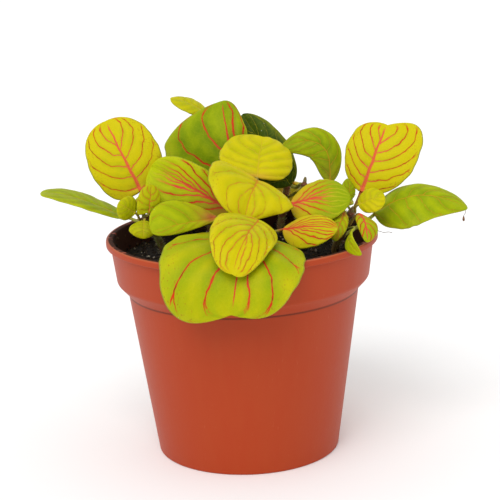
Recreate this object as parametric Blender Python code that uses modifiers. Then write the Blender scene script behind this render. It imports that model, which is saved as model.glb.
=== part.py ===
"""A nerve plant (Fittonia) growing in a round plastic nursery pot.

The origin is the centre of the pot's foot, on the surface that it stands on, with +Z up.
The pot, the compost, each shoot's stem and each leaf with its stalk is one closed solid.
Lengths in the constants and in the tables are in millimetres, and angles are in degrees.
"""

import math
from dataclasses import dataclass

import bmesh
import bpy
from mathutils import Vector

MM = 0.001
PART_NAME = "potted_nerve_plant"

# Pot: a 12 cm nursery pot with a deep collar under a rolled lip.
POT_HEIGHT = 98.0
LIP_RADIUS = 60.0
LIP_DEPTH = 3.0
COLLAR_TOP_RADIUS = 58.0
COLLAR_FOOT_RADIUS = 55.9
COLLAR_DEPTH = 19.0
BODY_TOP_RADIUS = 51.2
BODY_TOP_DEPTH = 24.0
FOOT_RADIUS = 40.6
WALL = 1.3
FOOT_RING_WIDTH = 4.0
CENTRE_PAD_RADIUS = 20.0
CHANNEL_LIFT = 3.0
DRAIN_HOLES = 8
DRAIN_HOLE_RADIUS = 3.6
POT_STEPS = 60
DRAIN_CUTTER_SIDES = 16
CUTTER_OVERRUN = 2.0

# Short slopes that round the pot's corners.
LIP_CORNER = 0.6
LIP_UNDERCUT = 0.2
LIP_BACK = 0.5
LIP_INNER_SLOPE = 0.6
LIP_WIDTH_INSIDE = 0.8
COLLAR_CORNER_RISE = 0.8
COLLAR_CORNER_DROP = 0.2
COLLAR_CORNER_INSET = 0.5
BODY_CORNER_OUT = 0.3
BODY_CORNER_IN = 0.2
BODY_CORNER_RISE = 0.4
BODY_CORNER_DROP = 0.8
FOOT_CORNER_RISE = 1.0
FOOT_CORNER_INSET = 0.7
FOOT_CORNER_OUT = 0.1
CHANNEL_SLOPE = 1.2
FLOOR_CORNER_RISE = 1.1

# Compost: it stops below the lip, and each stem is set in a hole of its own.
GAP = 0.3
SOIL_GAP = 0.5
SOIL_EDGE_DEPTH = 11.0
SOIL_CROWN = 2.0
SOIL_CROWN_POINTS = ((0.0, 1.0), (24.0, 0.8), (44.0, 0.35))
SOIL_EDGE_FLARE = 0.6
SOIL_FOOT_FLARE = 0.4
SOIL_STEPS = 36
SOCKET_DEPTH = 7.0
SOCKET_RADIUS_GAP = 0.4
SOCKET_SIDES = 12

# Stems: their foot is upright in the compost for a short way.
STEM_FOOT_RADIUS = 1.7
STEM_TOP_RADIUS = 1.3
STEM_SINK = 5.0
STEM_FREE_FOOT = 1.0
STEM_POINTS_PER_SPAN = 4
STEM_TIP_HEIGHT = 0.99
STEM_TIP_HOLD = 0.35

# Leaves.
BLADE_THICKNESS = 0.6
STALK_THICKNESS = 1.6
STALK_HALF_WIDTH = 0.8
BLADE_EDGE_MARGIN = 0.6
STALK_ROWS = 3
STALK_SWING = 0.5
SHIFT_POWER = 1.5
STALK_REACH = STEM_FOOT_RADIUS + GAP + STALK_THICKNESS / 2

COLOURS = {
    "leaf_lime": (0.56, 0.56, 0.03, 1.0),
    "leaf_green": (0.30, 0.42, 0.05, 1.0),
    "leaf_olive": (0.16, 0.25, 0.04, 1.0),
    "stem_green": (0.28, 0.27, 0.10, 1.0),
    "terracotta_plastic": (0.46, 0.13, 0.06, 1.0),
    "peat_compost": (0.03, 0.02, 0.014, 1.0),
}
ROUGHNESS = {"terracotta_plastic": 0.45, "peat_compost": 0.95}
LEAF_ROUGHNESS = 0.5


@dataclass(frozen=True)
class Stem:
    """One shoot's stem: where it leaves the compost, and the points that it passes above that."""

    name: str
    foot: tuple
    points: tuple


@dataclass(frozen=True)
class Leaf:
    """One leaf. The blade runs from base to tip, and face is the way that its upper side looks.

    stem and height say where the stalk joins, height as a share of the stem's length above the compost.
    half, cup, curl, toe and heel are pairs, for the blade's two sides.
    half is the width beside the midrib, cup the angle at which a side leaves it, and curl its bend down.
    rise and sway bow the midrib up and sideways, near the base and near the tip.
    blunt holds two powers that shape the outline, small for a blunt base or a blunt tip.
    toe pushes a side's margin past the tip, and heel pushes it back past the base.
    """

    name: str
    stem: str
    height: float
    base: tuple
    tip: tuple
    face: tuple
    half: tuple
    finish: str = "leaf_lime"
    rise: tuple = (1, 2)
    sway: tuple = (0, 0)
    cup: tuple = (0, 0)
    curl: tuple = (25, 25)
    blunt: tuple = (0.45, 0.5)
    toe: tuple = (0, 0)
    heel: tuple = (0, 0)


STEMS = (
    Stem("stem_crown", (4, -4), ((6.5, -6, 107), (7.5, -8, 119))),
    Stem("stem_front", (9, -22), ((8.5, -26, 99), (7.5, -30, 107))),
    Stem("stem_left", (-34, -4), ((-38, -9, 102), (-41.5, -15, 110))),
    Stem("stem_right", (41, -3), ((45, -8, 101), (47.5, -12.5, 108))),
    Stem("stem_back", (-1, 14), ((1, 13, 106), (2.5, 12, 119))),
    Stem("stem_back_right", (25, 16), ((27, 17, 105), (29, 18, 115))),
    Stem("stem_rear_left", (-14, 30), ((-15, 34, 102), (-17, 38, 120), (-15, 41, 136))),
    Stem("stem_rear_right", (18, 37), ((20, 39, 101), (22, 41, 110))),
)

LEAVES = (
    # The crown shoot, in the middle of the pot.
    Leaf("leaf_crown_back", "stem_crown", 1.0, (7.5, -7, 124), (11, 13, 138), (-0.1, -0.6, 1), (18, 16),
         cup=(10, 5), curl=(20, 60), blunt=(0.35, 0.4), toe=(7, 2)),
    Leaf("leaf_crown_front", "stem_crown", 0.97, (7.5, -12, 123), (1.5, -30, 110.5), (0, -0.5, 1), (19, 21),
         rise=(3, 6), cup=(5, 33), curl=(45, 20), blunt=(0.35, 0.6), heel=(0, 7)),
    Leaf("leaf_crown_left", "stem_crown", 0.66, (-5, -9, 110.5), (-38, -5, 130), (-0.3, -0.7, 0.6), (17, 10),
         finish="leaf_green", rise=(3, 2), cup=(10, 25), curl=(20, 15), blunt=(0.5, 0.4)),
    Leaf("leaf_crown_right", "stem_crown", 0.7, (22, -12, 112.5), (47, -18, 115.5), (0.2, -0.7, 0.8), (12.5, 13),
         rise=(3, 5), cup=(5, 5), curl=(35, 30)),
    Leaf("leaf_crown_low_left", "stem_crown", 0.4, (-10.5, -18, 109), (-38, -30, 107), (-0.1, -0.8, 0.6),
         (4, 11), finish="leaf_green", rise=(2, 2), cup=(5, 5), curl=(30, 20), blunt=(0.6, 0.45)),
    Leaf("leaf_crown_low_right", "stem_crown", 0.3, (18, -27, 105), (40, -38, 107), (0.1, -0.7, 0.8), (9, 10),
         rise=(2, 3), curl=(30, 40), blunt=(0.5, 0.6)),
    # The front shoot, whose large leaf hangs over the lip.
    Leaf("leaf_front_small", "stem_front", 1.0, (7, -38, 111.5), (-4.5, -71, 98), (0, -0.8, 0.8), (12, 16),
         rise=(6, 10), cup=(5, 12), curl=(35, 25), blunt=(0.3, 0.5), toe=(6, 3), heel=(0, 9)),
    Leaf("leaf_front_large", "stem_front", 0.5, (4.5, -33, 103.5), (-5, -70, 80.5), (0, -0.6, 1), (26, 34),
         rise=(10, 20), cup=(8, 4), curl=(25, 20), blunt=(0.3, 0.3), toe=(3, 16), heel=(3, 13)),
    # The left shoot.
    Leaf("leaf_left_round", "stem_left", 0.5, (-43.5, -2, 119), (-58, 8, 148.5), (0.05, -1, 0.2), (16, 16),
         rise=(2, 3), cup=(8, 8), blunt=(0.35, 0.4), toe=(2, 0), heel=(3, 1)),
    Leaf("leaf_left_low", "stem_left", 0.66, (-50.5, -6, 108.5), (-87, -4, 120), (0, -0.02, 1), (11, 11),
         finish="leaf_green", rise=(1, 4), cup=(5, 5), curl=(15, 10), blunt=(0.4, 0.35)),
    Leaf("young_leaf_left_a", "stem_left", 0.98, (-45.5, -18.5, 113), (-52, -22, 118), (-0.1, -1, 0.4), (5.5, 5.5),
         curl=(20, 20), blunt=(0.4, 0.45)),
    Leaf("young_leaf_left_b", "stem_left", 1.0, (-39.5, -19, 113), (-38, -17, 124.5), (0.3, -1, 0.2), (5.5, 5),
         rise=(1, 1), curl=(20, 20), blunt=(0.3, 0.45), heel=(4, 5)),
    Leaf("young_leaf_left_c", "stem_left", 0.88, (-41.5, -21.3, 109.5), (-42, -24.8, 103), (0, -1, 0.6), (6, 6.5),
         blunt=(0.4, 0.45)),
    # The right shoot.
    Leaf("leaf_right_tall", "stem_right", 0.38, (53.5, 3, 114), (66, 13, 141.5), (-0.1, -1, 0.3), (13.5, 18.5),
         rise=(2, 3), cup=(5, 8), curl=(25, 15), blunt=(0.5, 0.35), toe=(0, 12)),
    Leaf("leaf_right_low", "stem_right", 0.28, (59.5, 0, 104.5), (99, -6, 106.5), (0.1, -0.5, 0.8), (10, 16),
         finish="leaf_green", rise=(13, 12), curl=(25, 30), heel=(12, 0)),
    Leaf("young_leaf_right_a", "stem_right", 0.95, (51, -14, 112), (62, -15, 115), (0.2, -0.8, 0.8), (6.5, 6),
         blunt=(0.4, 0.4)),
    Leaf("young_leaf_right_b", "stem_right", 1.0, (46.5, -7, 112), (47, -3, 121), (0.6, -0.8, 0), (4, 5),
         finish="leaf_green", curl=(30, 30), blunt=(0.5, 0.6)),
    Leaf("young_leaf_right_c", "stem_right", 0.66, (51, -19, 108.5), (52.5, -34, 100), (0.3, -1, 0.5), (6.5, 3.5),
         rise=(3, 4), curl=(30, 30), blunt=(0.5, 0.6)),
    Leaf("young_leaf_right_d", "stem_right", 0.88, (44, -20, 109.5), (39.5, -28, 99.5), (-0.2, -1, 0.4), (3.5, 6.5),
         rise=(2, 3), curl=(30, 30), blunt=(0.5, 0.6)),
    Leaf("young_leaf_right_e", "stem_right", 0.5, (46.5, -32, 104.5), (49, -49, 98.5), (-0.9, -0.5, 0.3), (3, 4),
         finish="leaf_green", rise=(4, 6), curl=(10, 10), blunt=(0.5, 0.6)),
    # The two shoots behind the crown.
    Leaf("leaf_back_left", "stem_back", 0.97, (0, 17, 118), (-6.5, 31, 152), (-0.4, -0.9, 0.4), (33, 9),
         finish="leaf_green", rise=(3, 5), cup=(5, 5), curl=(20, 60), blunt=(0.4, 0.45)),
    Leaf("leaf_back_right", "stem_back_right", 0.97, (23, 26, 113.5), (2.5, 38, 144.5), (-0.3, -0.9, 0.3), (12, 10),
         finish="leaf_olive", rise=(3, 3), cup=(10, 10), curl=(20, 30), blunt=(0.5, 0.6)),
    Leaf("leaf_back_folded", "stem_back_right", 0.82, (40, 12, 117), (19, 16, 132), (0, -1, 0.3), (8, 7),
         finish="leaf_green", rise=(2, 3), sway=(16, 14), curl=(20, 20), blunt=(0.5, 0.6)),
    Leaf("leaf_mid_left", "stem_back", 0.3, (-12, 15, 103), (-34, 26, 108), (-0.2, 0.1, 1), (12, 12),
         finish="leaf_green", rise=(4, 5), curl=(30, 30)),
    Leaf("leaf_mid_right", "stem_back_right", 0.35, (33, 21, 104), (50, 37, 104), (0.2, 0, 1), (11, 11),
         finish="leaf_green", rise=(4, 5), curl=(30, 30)),
    Leaf("leaf_rear_inner", "stem_back", 0.5, (-3, 21, 110), (-5, 52, 126), (0, 1, 0.5), (8, 8),
         rise=(2, 4), curl=(30, 30)),
    # The two shoots at the rear.
    Leaf("leaf_rear_top", "stem_rear_left", 1.0, (-14.5, 42, 145), (-30.5, 46, 152), (0, -0.25, 1), (7, 7),
         rise=(2, 2), curl=(20, 20), blunt=(0.5, 0.6)),
    Leaf("leaf_rear_top_small", "stem_rear_left", 0.96, (-17, 46, 136), (-24, 62, 132), (0.1, 0.3, 1), (7, 7),
         rise=(2, 3), curl=(30, 30)),
    Leaf("leaf_rear_centre", "stem_rear_left", 0.72, (-16, 48, 118), (-8, 82, 96), (0, 0.5, 1), (17, 18),
         rise=(5, 12), curl=(35, 35)),
    Leaf("leaf_rear_left", "stem_rear_left", 0.4, (-26, 42, 108), (-50, 60, 99), (-0.3, 0.3, 1), (13, 14),
         finish="leaf_green", rise=(3, 8), curl=(35, 35)),
    Leaf("leaf_rear_right", "stem_rear_right", 0.5, (30, 45, 103), (54, 58, 101), (0.3, 0.3, 1), (11, 12),
         finish="leaf_green", rise=(4, 7), curl=(35, 35)),
    Leaf("leaf_rear_low", "stem_rear_right", 0.9, (22, 48, 110), (20, 80, 90), (0, 0.6, 1), (14, 15),
         rise=(5, 12), curl=(40, 40)),
    Leaf("leaf_rear_inner_left", "stem_rear_left", 0.55, (-22, 40, 112), (-40, 42, 114), (-0.2, 0.2, 1), (10, 11),
         rise=(2, 4), curl=(30, 30)),
    Leaf("leaf_rear_inner_right", "stem_rear_right", 0.7, (26, 35, 108), (40, 31, 112), (0.2, 0.2, 1), (9, 9),
         rise=(2, 3), curl=(30, 30)),
    Leaf("leaf_rear_between", "stem_rear_right", 0.35, (10, 42, 101), (-5, 59, 100), (0, 0.2, 1), (8, 8),
         finish="leaf_green", rise=(3, 5), curl=(30, 30)),
    Leaf("young_leaf_rear", "stem_rear_right", 1.0, (20, 36, 114), (8, 36, 124), (-0.3, 0.3, 1), (6, 6),
         curl=(30, 30)),
)
YOUNG_LEAF_WIDTH = 15.0
YOUNG_GRID = (4, 6)
GRID = (6, 8)


def soil_top():
    """The height of the compost at the pot's wall."""
    return POT_HEIGHT - SOIL_EDGE_DEPTH


def clear_scene():
    """Removes what the scene holds, so that only this model is in it."""
    for found in list(bpy.data.objects):
        bpy.data.objects.remove(found, do_unlink=True)


def new_collection(name):
    """A collection of its own, linked to the scene."""
    group = bpy.data.collections.new(name)
    bpy.context.scene.collection.children.link(group)
    return group


def new_material(name, roughness):
    """A plain material in one of the plant's colours."""
    made = bpy.data.materials.new(name)
    made.use_nodes = True
    shader = made.node_tree.nodes["Principled BSDF"]
    shader.inputs["Base Color"].default_value = COLOURS[name]
    shader.inputs["Roughness"].default_value = roughness
    shader.inputs["Metallic"].default_value = 0.0
    return made


def add_object(group, name, data, finish):
    """An object of this name in the group, with one material."""
    made = bpy.data.objects.new(name, data)
    group.objects.link(made)
    data.materials.append(finish)
    return made


def turned(group, name, profile, steps, finish):
    """A solid turned about +Z from a profile of (radius, height), outer side running down."""
    mesh = bpy.data.meshes.new(name)
    shape = bmesh.new()
    points = [shape.verts.new((radius * MM, 0.0, height * MM)) for radius, height in profile]
    for start, end in zip(points, points[1:]):
        shape.edges.new((start, end))
    shape.to_mesh(mesh)
    shape.free()
    made = add_object(group, name, mesh, finish)
    screw = made.modifiers.new("turn", "SCREW")
    screw.steps = steps
    screw.render_steps = steps
    screw.use_merge_vertices = True
    screw.merge_threshold = 0.00001
    screw.use_smooth_shade = True
    return made


def upright_cutter(group, name, radius, low, high, place, sides):
    """An upright round cutter that the render and the build leave out."""
    mesh = bpy.data.meshes.new(name)
    shape = bmesh.new()
    bmesh.ops.create_cone(shape, cap_ends=True, segments=sides, radius1=radius * MM, radius2=radius * MM,
                          depth=(high - low) * MM)
    shape.to_mesh(mesh)
    shape.free()
    made = bpy.data.objects.new(name, mesh)
    group.objects.link(made)
    made.location = (place[0] * MM, place[1] * MM, (low + high) / 2 * MM)
    made.hide_render = True
    made.display_type = "WIRE"
    return made


def cut(target, cutter):
    """Takes the cutter's shape away from the target."""
    boolean = target.modifiers.new(cutter.name, "BOOLEAN")
    boolean.operation = "DIFFERENCE"
    boolean.solver = "EXACT"
    boolean.object = cutter


def wall_profile(inset):
    """The pot's side from the lip's underside down to the foot, moved in by inset."""
    collar_foot = POT_HEIGHT - COLLAR_DEPTH
    body_top = POT_HEIGHT - BODY_TOP_DEPTH
    return [
        (COLLAR_TOP_RADIUS - inset, POT_HEIGHT - LIP_DEPTH),
        (COLLAR_FOOT_RADIUS - inset, collar_foot + COLLAR_CORNER_RISE),
        (COLLAR_FOOT_RADIUS - COLLAR_CORNER_INSET - inset, collar_foot - COLLAR_CORNER_DROP),
        (BODY_TOP_RADIUS + BODY_CORNER_OUT - inset, body_top + BODY_CORNER_RISE),
        (BODY_TOP_RADIUS - BODY_CORNER_IN - inset, body_top - BODY_CORNER_DROP),
    ]


def foot_profile():
    """The underside, from the foot ring in to the middle: a raised channel round a flat pad."""
    ring_inner = FOOT_RADIUS - FOOT_RING_WIDTH
    return [
        (FOOT_RADIUS + FOOT_CORNER_OUT, FOOT_CORNER_RISE),
        (FOOT_RADIUS - FOOT_CORNER_INSET, 0.0),
        (ring_inner, 0.0),
        (ring_inner - CHANNEL_SLOPE, CHANNEL_LIFT),
        (CENTRE_PAD_RADIUS + CHANNEL_SLOPE, CHANNEL_LIFT),
        (CENTRE_PAD_RADIUS, 0.0),
        (0.0, 0.0),
    ]


def floor_profile():
    """The pot's floor seen from inside, from the middle out to the wall."""
    ring_inner = FOOT_RADIUS - FOOT_RING_WIDTH
    lift = CHANNEL_LIFT + WALL
    half_slope = CHANNEL_SLOPE / 2
    inner_foot = FOOT_RADIUS - WALL
    return [
        (0.0, WALL),
        (CENTRE_PAD_RADIUS - half_slope, WALL),
        (CENTRE_PAD_RADIUS + half_slope, lift),
        (ring_inner - half_slope, lift),
        (ring_inner + half_slope, WALL),
        (inner_foot - half_slope, WALL),
        (inner_foot + FOOT_CORNER_OUT, WALL + FLOOR_CORNER_RISE),
    ]


def make_pot(group, cutters, finish):
    """The pot: one thin wall with a rolled lip, a collar, a foot ring and drain holes."""
    lip_inside = COLLAR_TOP_RADIUS - LIP_WIDTH_INSIDE
    lip_foot = POT_HEIGHT - LIP_DEPTH + LIP_UNDERCUT
    lip = [
        (lip_inside - LIP_INNER_SLOPE, POT_HEIGHT - LIP_BACK),
        (lip_inside, POT_HEIGHT),
        (LIP_RADIUS - LIP_CORNER, POT_HEIGHT),
        (LIP_RADIUS, POT_HEIGHT - LIP_CORNER),
        (LIP_RADIUS, lip_foot + LIP_CORNER),
        (LIP_RADIUS - LIP_BACK, lip_foot),
    ]
    inside = list(reversed(wall_profile(WALL)))
    profile = floor_profile() + inside + lip + wall_profile(0.0) + foot_profile()
    pot = turned(group, "pot", profile, POT_STEPS, finish)
    middle = (FOOT_RADIUS - FOOT_RING_WIDTH + CENTRE_PAD_RADIUS) / 2
    for number in range(DRAIN_HOLES):
        angle = 2 * math.pi * (number + 0.5) / DRAIN_HOLES
        place = (middle * math.cos(angle), middle * math.sin(angle))
        name = f"drain_hole_{number + 1}"
        low, high = CHANNEL_LIFT - CUTTER_OVERRUN, CHANNEL_LIFT + WALL + CUTTER_OVERRUN
        cut(pot, upright_cutter(cutters, name, DRAIN_HOLE_RADIUS, low, high, place, DRAIN_CUTTER_SIDES))


def make_soil(group, cutters, finish):
    """The compost: it fills the pot with a small gap all round, and has a socket for each stem."""
    inset = WALL + SOIL_GAP
    side = [point for point in wall_profile(inset) if point[1] < soil_top()]
    edge_radius = COLLAR_FOOT_RADIUS - inset + SOIL_EDGE_FLARE
    crown = [(radius, soil_top() + SOIL_CROWN * share) for radius, share in SOIL_CROWN_POINTS]
    underside = CHANNEL_LIFT + WALL + GAP
    under = [(FOOT_RADIUS - inset + SOIL_FOOT_FLARE, underside), (0.0, underside)]
    profile = crown + [(edge_radius, soil_top())] + side + under
    soil = turned(group, "soil", profile, SOIL_STEPS, finish)
    for stem in STEMS:
        name = f"socket_{stem.name}"
        low = soil_top() + SOIL_CROWN - SOCKET_DEPTH
        high = POT_HEIGHT
        radius = STEM_FOOT_RADIUS + SOCKET_RADIUS_GAP
        cut(soil, upright_cutter(cutters, name, radius, low, high, stem.foot, SOCKET_SIDES))


def stem_route(stem):
    """The points that a stem is bent through, from its foot in the compost up to its tip."""
    foot_height = soil_top() + SOIL_CROWN - STEM_SINK
    above = soil_top() + SOIL_CROWN + STEM_FREE_FOOT
    low = Vector((*stem.foot, foot_height))
    rise = Vector((*stem.foot, above))
    return [low, rise] + [Vector(point) for point in stem.points]


def on_route(route, share):
    """The point and the direction at this share of the way along a smooth curve through the route.

    The route's first span is the straight foot. The share counts from the second point.
    """
    spans = len(route) - 2
    place = min(max(share, 0.0), 1.0) * spans
    index = min(int(place), spans - 1) + 1
    local = place - (index - 1)
    start, end = route[index], route[index + 1]
    before = route[index - 1]
    after = route[index + 2] if index + 2 < len(route) else end
    leave = (end - before) / 2
    arrive = (after - start) / 2
    h00 = 2 * local ** 3 - 3 * local ** 2 + 1
    h10 = local ** 3 - 2 * local ** 2 + local
    h01 = 3 * local ** 2 - 2 * local ** 3
    h11 = local ** 3 - local ** 2
    point = h00 * start + h10 * leave + h01 * end + h11 * arrive
    slope = (6 * local ** 2 - 6 * local) * (start - end) + (3 * local ** 2 - 4 * local + 1) * leave
    slope += (3 * local ** 2 - 2 * local) * arrive
    return point, slope.normalized()


def make_stem(group, stem, finish):
    """One stem: a round tube that thins towards its tip."""
    route = stem_route(stem)
    count = STEM_POINTS_PER_SPAN * (len(route) - 2)
    points = [route[0]] + [on_route(route, number / count)[0] for number in range(count + 1)]
    curve = bpy.data.curves.new(stem.name, "CURVE")
    curve.dimensions = "3D"
    curve.bevel_depth = STEM_FOOT_RADIUS * MM
    curve.bevel_resolution = 2
    curve.use_fill_caps = True
    spline = curve.splines.new("POLY")
    spline.points.add(len(points) - 1)
    for number, point in enumerate(points):
        share = number / (len(points) - 1)
        spline.points[number].co = (*(point * MM), 1.0)
        spline.points[number].radius = 1.0 + (STEM_TOP_RADIUS / STEM_FOOT_RADIUS - 1.0) * share
    add_object(group, stem.name, curve, finish)


def bezier(points, share):
    """The point and the slope at this share of a cubic curve."""
    a, b, c, d = points
    rest = 1.0 - share
    point = rest ** 3 * a + 3 * rest ** 2 * share * b + 3 * rest * share ** 2 * c + share ** 3 * d
    slope = 3 * rest ** 2 * (b - a) + 6 * rest * share * (c - b) + 3 * share ** 2 * (d - c)
    return point, slope


def across(vector, direction):
    """The part of vector that is square to direction, as a unit vector."""
    return (vector - direction * vector.dot(direction)).normalized()


def outline_width(leaf, along):
    """How wide the blade is at this share of its length, 1 at its widest."""
    base_power, tip_power = leaf.blunt
    widest = base_power / (base_power + tip_power)
    peak = widest ** base_power * (1 - widest) ** tip_power
    return max(along, 1e-6) ** base_power * (1 - along) ** tip_power / peak


class LeafShape:
    """Where each point of a leaf lies, in millimetres."""

    def __init__(self, leaf, stem):
        """Sets up the midrib, the stalk and the blade's frame."""
        self.leaf = leaf
        base, tip = Vector(leaf.base), Vector(leaf.tip)
        chord = tip - base
        way = chord.normalized()
        face = across(Vector(leaf.face), way)
        self.side = way.cross(face)
        near = base + chord / 3 + face * leaf.rise[0] + self.side * leaf.sway[0]
        far = base + chord * 2 / 3 + face * leaf.rise[1] + self.side * leaf.sway[1]
        self.midrib = (base, near, far, tip)
        joint, along_stem = on_route(stem_route(stem), leaf.height)
        out = base - joint
        held = STEM_TIP_HOLD if leaf.height > STEM_TIP_HEIGHT else 1.0
        out = (out - along_stem * out.dot(along_stem) * held).normalized()
        self.stalk_foot = joint + out * STALK_REACH
        reach = (base - self.stalk_foot).length
        self.stalk_bend = base - bezier(self.midrib, 0.0)[1].normalized() * reach * STALK_SWING

    def stalk_point(self, share, across_share):
        """A point of the stalk: share runs from the stem to the blade, across_share from -1 to 1."""
        foot, bend, base = self.stalk_foot, self.stalk_bend, self.midrib[0]
        point = (1 - share) ** 2 * foot + 2 * (1 - share) * share * bend + share ** 2 * base
        slope = 2 * (1 - share) * (bend - foot) + 2 * share * (base - bend)
        return point + across(self.side, slope.normalized()) * STALK_HALF_WIDTH * across_share

    def blade_point(self, along, across_share):
        """A point of the blade: along runs from base to tip, across_share from -1 to 1."""
        leaf = self.leaf
        index = 0 if across_share < 0 else 1
        hand = -1.0 if across_share < 0 else 1.0
        out = abs(across_share)
        point, slope = bezier(self.midrib, along)
        way = slope.normalized()
        side = across(self.side, way)
        up = side.cross(way)
        fullness = outline_width(leaf, along)
        width = leaf.half[index] * fullness + BLADE_EDGE_MARGIN
        start = math.radians(leaf.cup[index])
        bend = math.radians(leaf.curl[index])
        level = width / bend * (math.sin(start) - math.sin(start - bend * out))
        lift = width / bend * (math.cos(start - bend * out) - math.cos(start))
        shift = leaf.toe[index] * along ** 2 - leaf.heel[index] * (1 - along) ** 2
        return point + side * hand * level + up * lift + way * shift * out ** SHIFT_POWER * fullness


def make_leaf(group, leaf, finish):
    """One leaf: a grid laid along stalk and blade, then given its thickness."""
    stem = next(item for item in STEMS if item.name == leaf.stem)
    shape = LeafShape(leaf, stem)
    young = sum(leaf.half) < YOUNG_LEAF_WIDTH
    columns, blade_rows = YOUNG_GRID if young else GRID
    rows = STALK_ROWS + blade_rows
    grid = bmesh.new()
    bmesh.ops.create_grid(grid, x_segments=columns, y_segments=rows, size=1.0)
    stalk_verts = []
    for vert in grid.verts:
        row = round((vert.co.y + 1) / 2 * rows)
        across_share = vert.co.x
        if row < STALK_ROWS:
            place = shape.stalk_point(row / STALK_ROWS, across_share)
            stalk_verts.append(vert.index)
        else:
            step = (row - STALK_ROWS) / blade_rows
            place = shape.blade_point(0.5 - 0.5 * math.cos(math.pi * step), across_share)
        vert.co = place * MM
    mesh = bpy.data.meshes.new(leaf.name)
    grid.to_mesh(mesh)
    grid.free()
    mesh.shade_smooth()
    made = add_object(group, leaf.name, mesh, finish)
    thick = made.vertex_groups.new(name="thickness")
    thin_share = BLADE_THICKNESS / STALK_THICKNESS
    thick.add(range(len(mesh.vertices)), thin_share, "REPLACE")
    thick.add(stalk_verts, 1.0, "REPLACE")
    solid = made.modifiers.new("thickness", "SOLIDIFY")
    solid.thickness = STALK_THICKNESS * MM
    solid.offset = 0.0
    solid.vertex_group = thick.name


def main():
    """Builds the whole plant in its pot."""
    clear_scene()
    group = new_collection(PART_NAME)
    cutters = new_collection("cutters")
    finishes = {name: new_material(name, ROUGHNESS.get(name, LEAF_ROUGHNESS)) for name in COLOURS}
    make_pot(group, cutters, finishes["terracotta_plastic"])
    make_soil(group, cutters, finishes["peat_compost"])
    for stem in STEMS:
        make_stem(group, stem, finishes["stem_green"])
    for leaf in LEAVES:
        make_leaf(group, leaf, finishes[leaf.finish])


main()
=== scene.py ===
"""The looks of a nerve plant in a round nursery pot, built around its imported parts.

Plans give lengths in millimetres in the parts' own frame: the origin is the centre of the pot's
foot on the surface it stands on, +X runs right, +Y to the rear and +Z up. Angles are in degrees.
"""

import logging
import math
from collections.abc import Iterable, Mapping, Sequence
from dataclasses import dataclass, field
from enum import Enum
from typing import Any

import bmesh
import bpy
import numpy as np
from mathutils import Matrix, Vector, noise


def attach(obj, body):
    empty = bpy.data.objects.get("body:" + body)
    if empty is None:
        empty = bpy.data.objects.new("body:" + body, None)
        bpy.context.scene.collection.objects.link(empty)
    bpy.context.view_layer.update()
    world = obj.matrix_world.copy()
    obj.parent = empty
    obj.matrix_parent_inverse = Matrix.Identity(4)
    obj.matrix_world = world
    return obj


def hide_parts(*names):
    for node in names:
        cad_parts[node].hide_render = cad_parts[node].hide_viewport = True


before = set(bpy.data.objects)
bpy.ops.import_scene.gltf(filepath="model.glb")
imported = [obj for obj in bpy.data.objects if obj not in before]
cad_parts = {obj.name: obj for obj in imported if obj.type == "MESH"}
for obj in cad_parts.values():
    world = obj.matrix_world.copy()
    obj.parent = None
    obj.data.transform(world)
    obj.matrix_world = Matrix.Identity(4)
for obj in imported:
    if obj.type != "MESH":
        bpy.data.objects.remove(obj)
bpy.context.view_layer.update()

MM = 0.001
BODY = "root"

Colour = tuple[float, float, float]
Pair = tuple[float, float]
Triple = tuple[float, float, float]

log = logging.getLogger("nerve_plant")


class Slot(Enum):
    """The record's material slots."""

    LEAF_LIME = "leaf_lime"
    LEAF_GREEN = "leaf_green"
    LEAF_OLIVE = "leaf_olive"
    STEM = "stem_green"
    POT = "terracotta_plastic"
    COMPOST = "peat_compost"


# ---------------------------------------------------------------- materials


class Flow:
    """A value on its way through a material's nodes. Arithmetic on it adds Math nodes."""

    def __init__(self, tree: "Tree", socket: bpy.types.NodeSocket) -> None:
        """Wraps one output socket."""
        self.tree = tree
        self.socket = socket

    def __add__(self, other: "Flow | float") -> "Flow":
        """This plus other."""
        return self.tree.math("ADD", self, other)

    __radd__ = __add__

    def __sub__(self, other: "Flow | float") -> "Flow":
        """This less other."""
        return self.tree.math("SUBTRACT", self, other)

    def __rsub__(self, other: float) -> "Flow":
        """Other less this."""
        return self.tree.math("SUBTRACT", other, self)

    def __mul__(self, other: "Flow | float") -> "Flow":
        """This times other."""
        return self.tree.math("MULTIPLY", self, other)

    __rmul__ = __mul__

    def __truediv__(self, other: "Flow | float") -> "Flow":
        """This over other."""
        return self.tree.math("DIVIDE", self, other)

    def __rtruediv__(self, other: float) -> "Flow":
        """Other over this."""
        return self.tree.math("DIVIDE", other, self)

    def __pow__(self, power: float) -> "Flow":
        """This to a power."""
        return self.tree.math("POWER", self, power)

    def __abs__(self) -> "Flow":
        """This without its sign."""
        return self.tree.math("ABSOLUTE", self)

    def nearest(self) -> "Flow":
        """This rounded to a whole number."""
        return self.tree.math("ROUND", self)

    def larger(self, other: "Flow | float") -> "Flow":
        """The larger of this and other."""
        return self.tree.math("MAXIMUM", self, other)

    def smaller(self, other: "Flow | float") -> "Flow":
        """The smaller of this and other."""
        return self.tree.math("MINIMUM", self, other)

    def above(self, limit: float) -> "Flow":
        """1 where this is above the limit, else 0."""
        return self.tree.math("GREATER_THAN", self, limit)

    def eased(self, low: "Flow | float", high: "Flow | float") -> "Flow":
        """A smooth step of this: 0 up to low and 1 from high on."""
        inputs = {"Value": self, "From Min": low, "From Max": high}
        return self.tree.add("ShaderNodeMapRange", {"interpolation_type": "SMOOTHSTEP"}, inputs)


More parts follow.
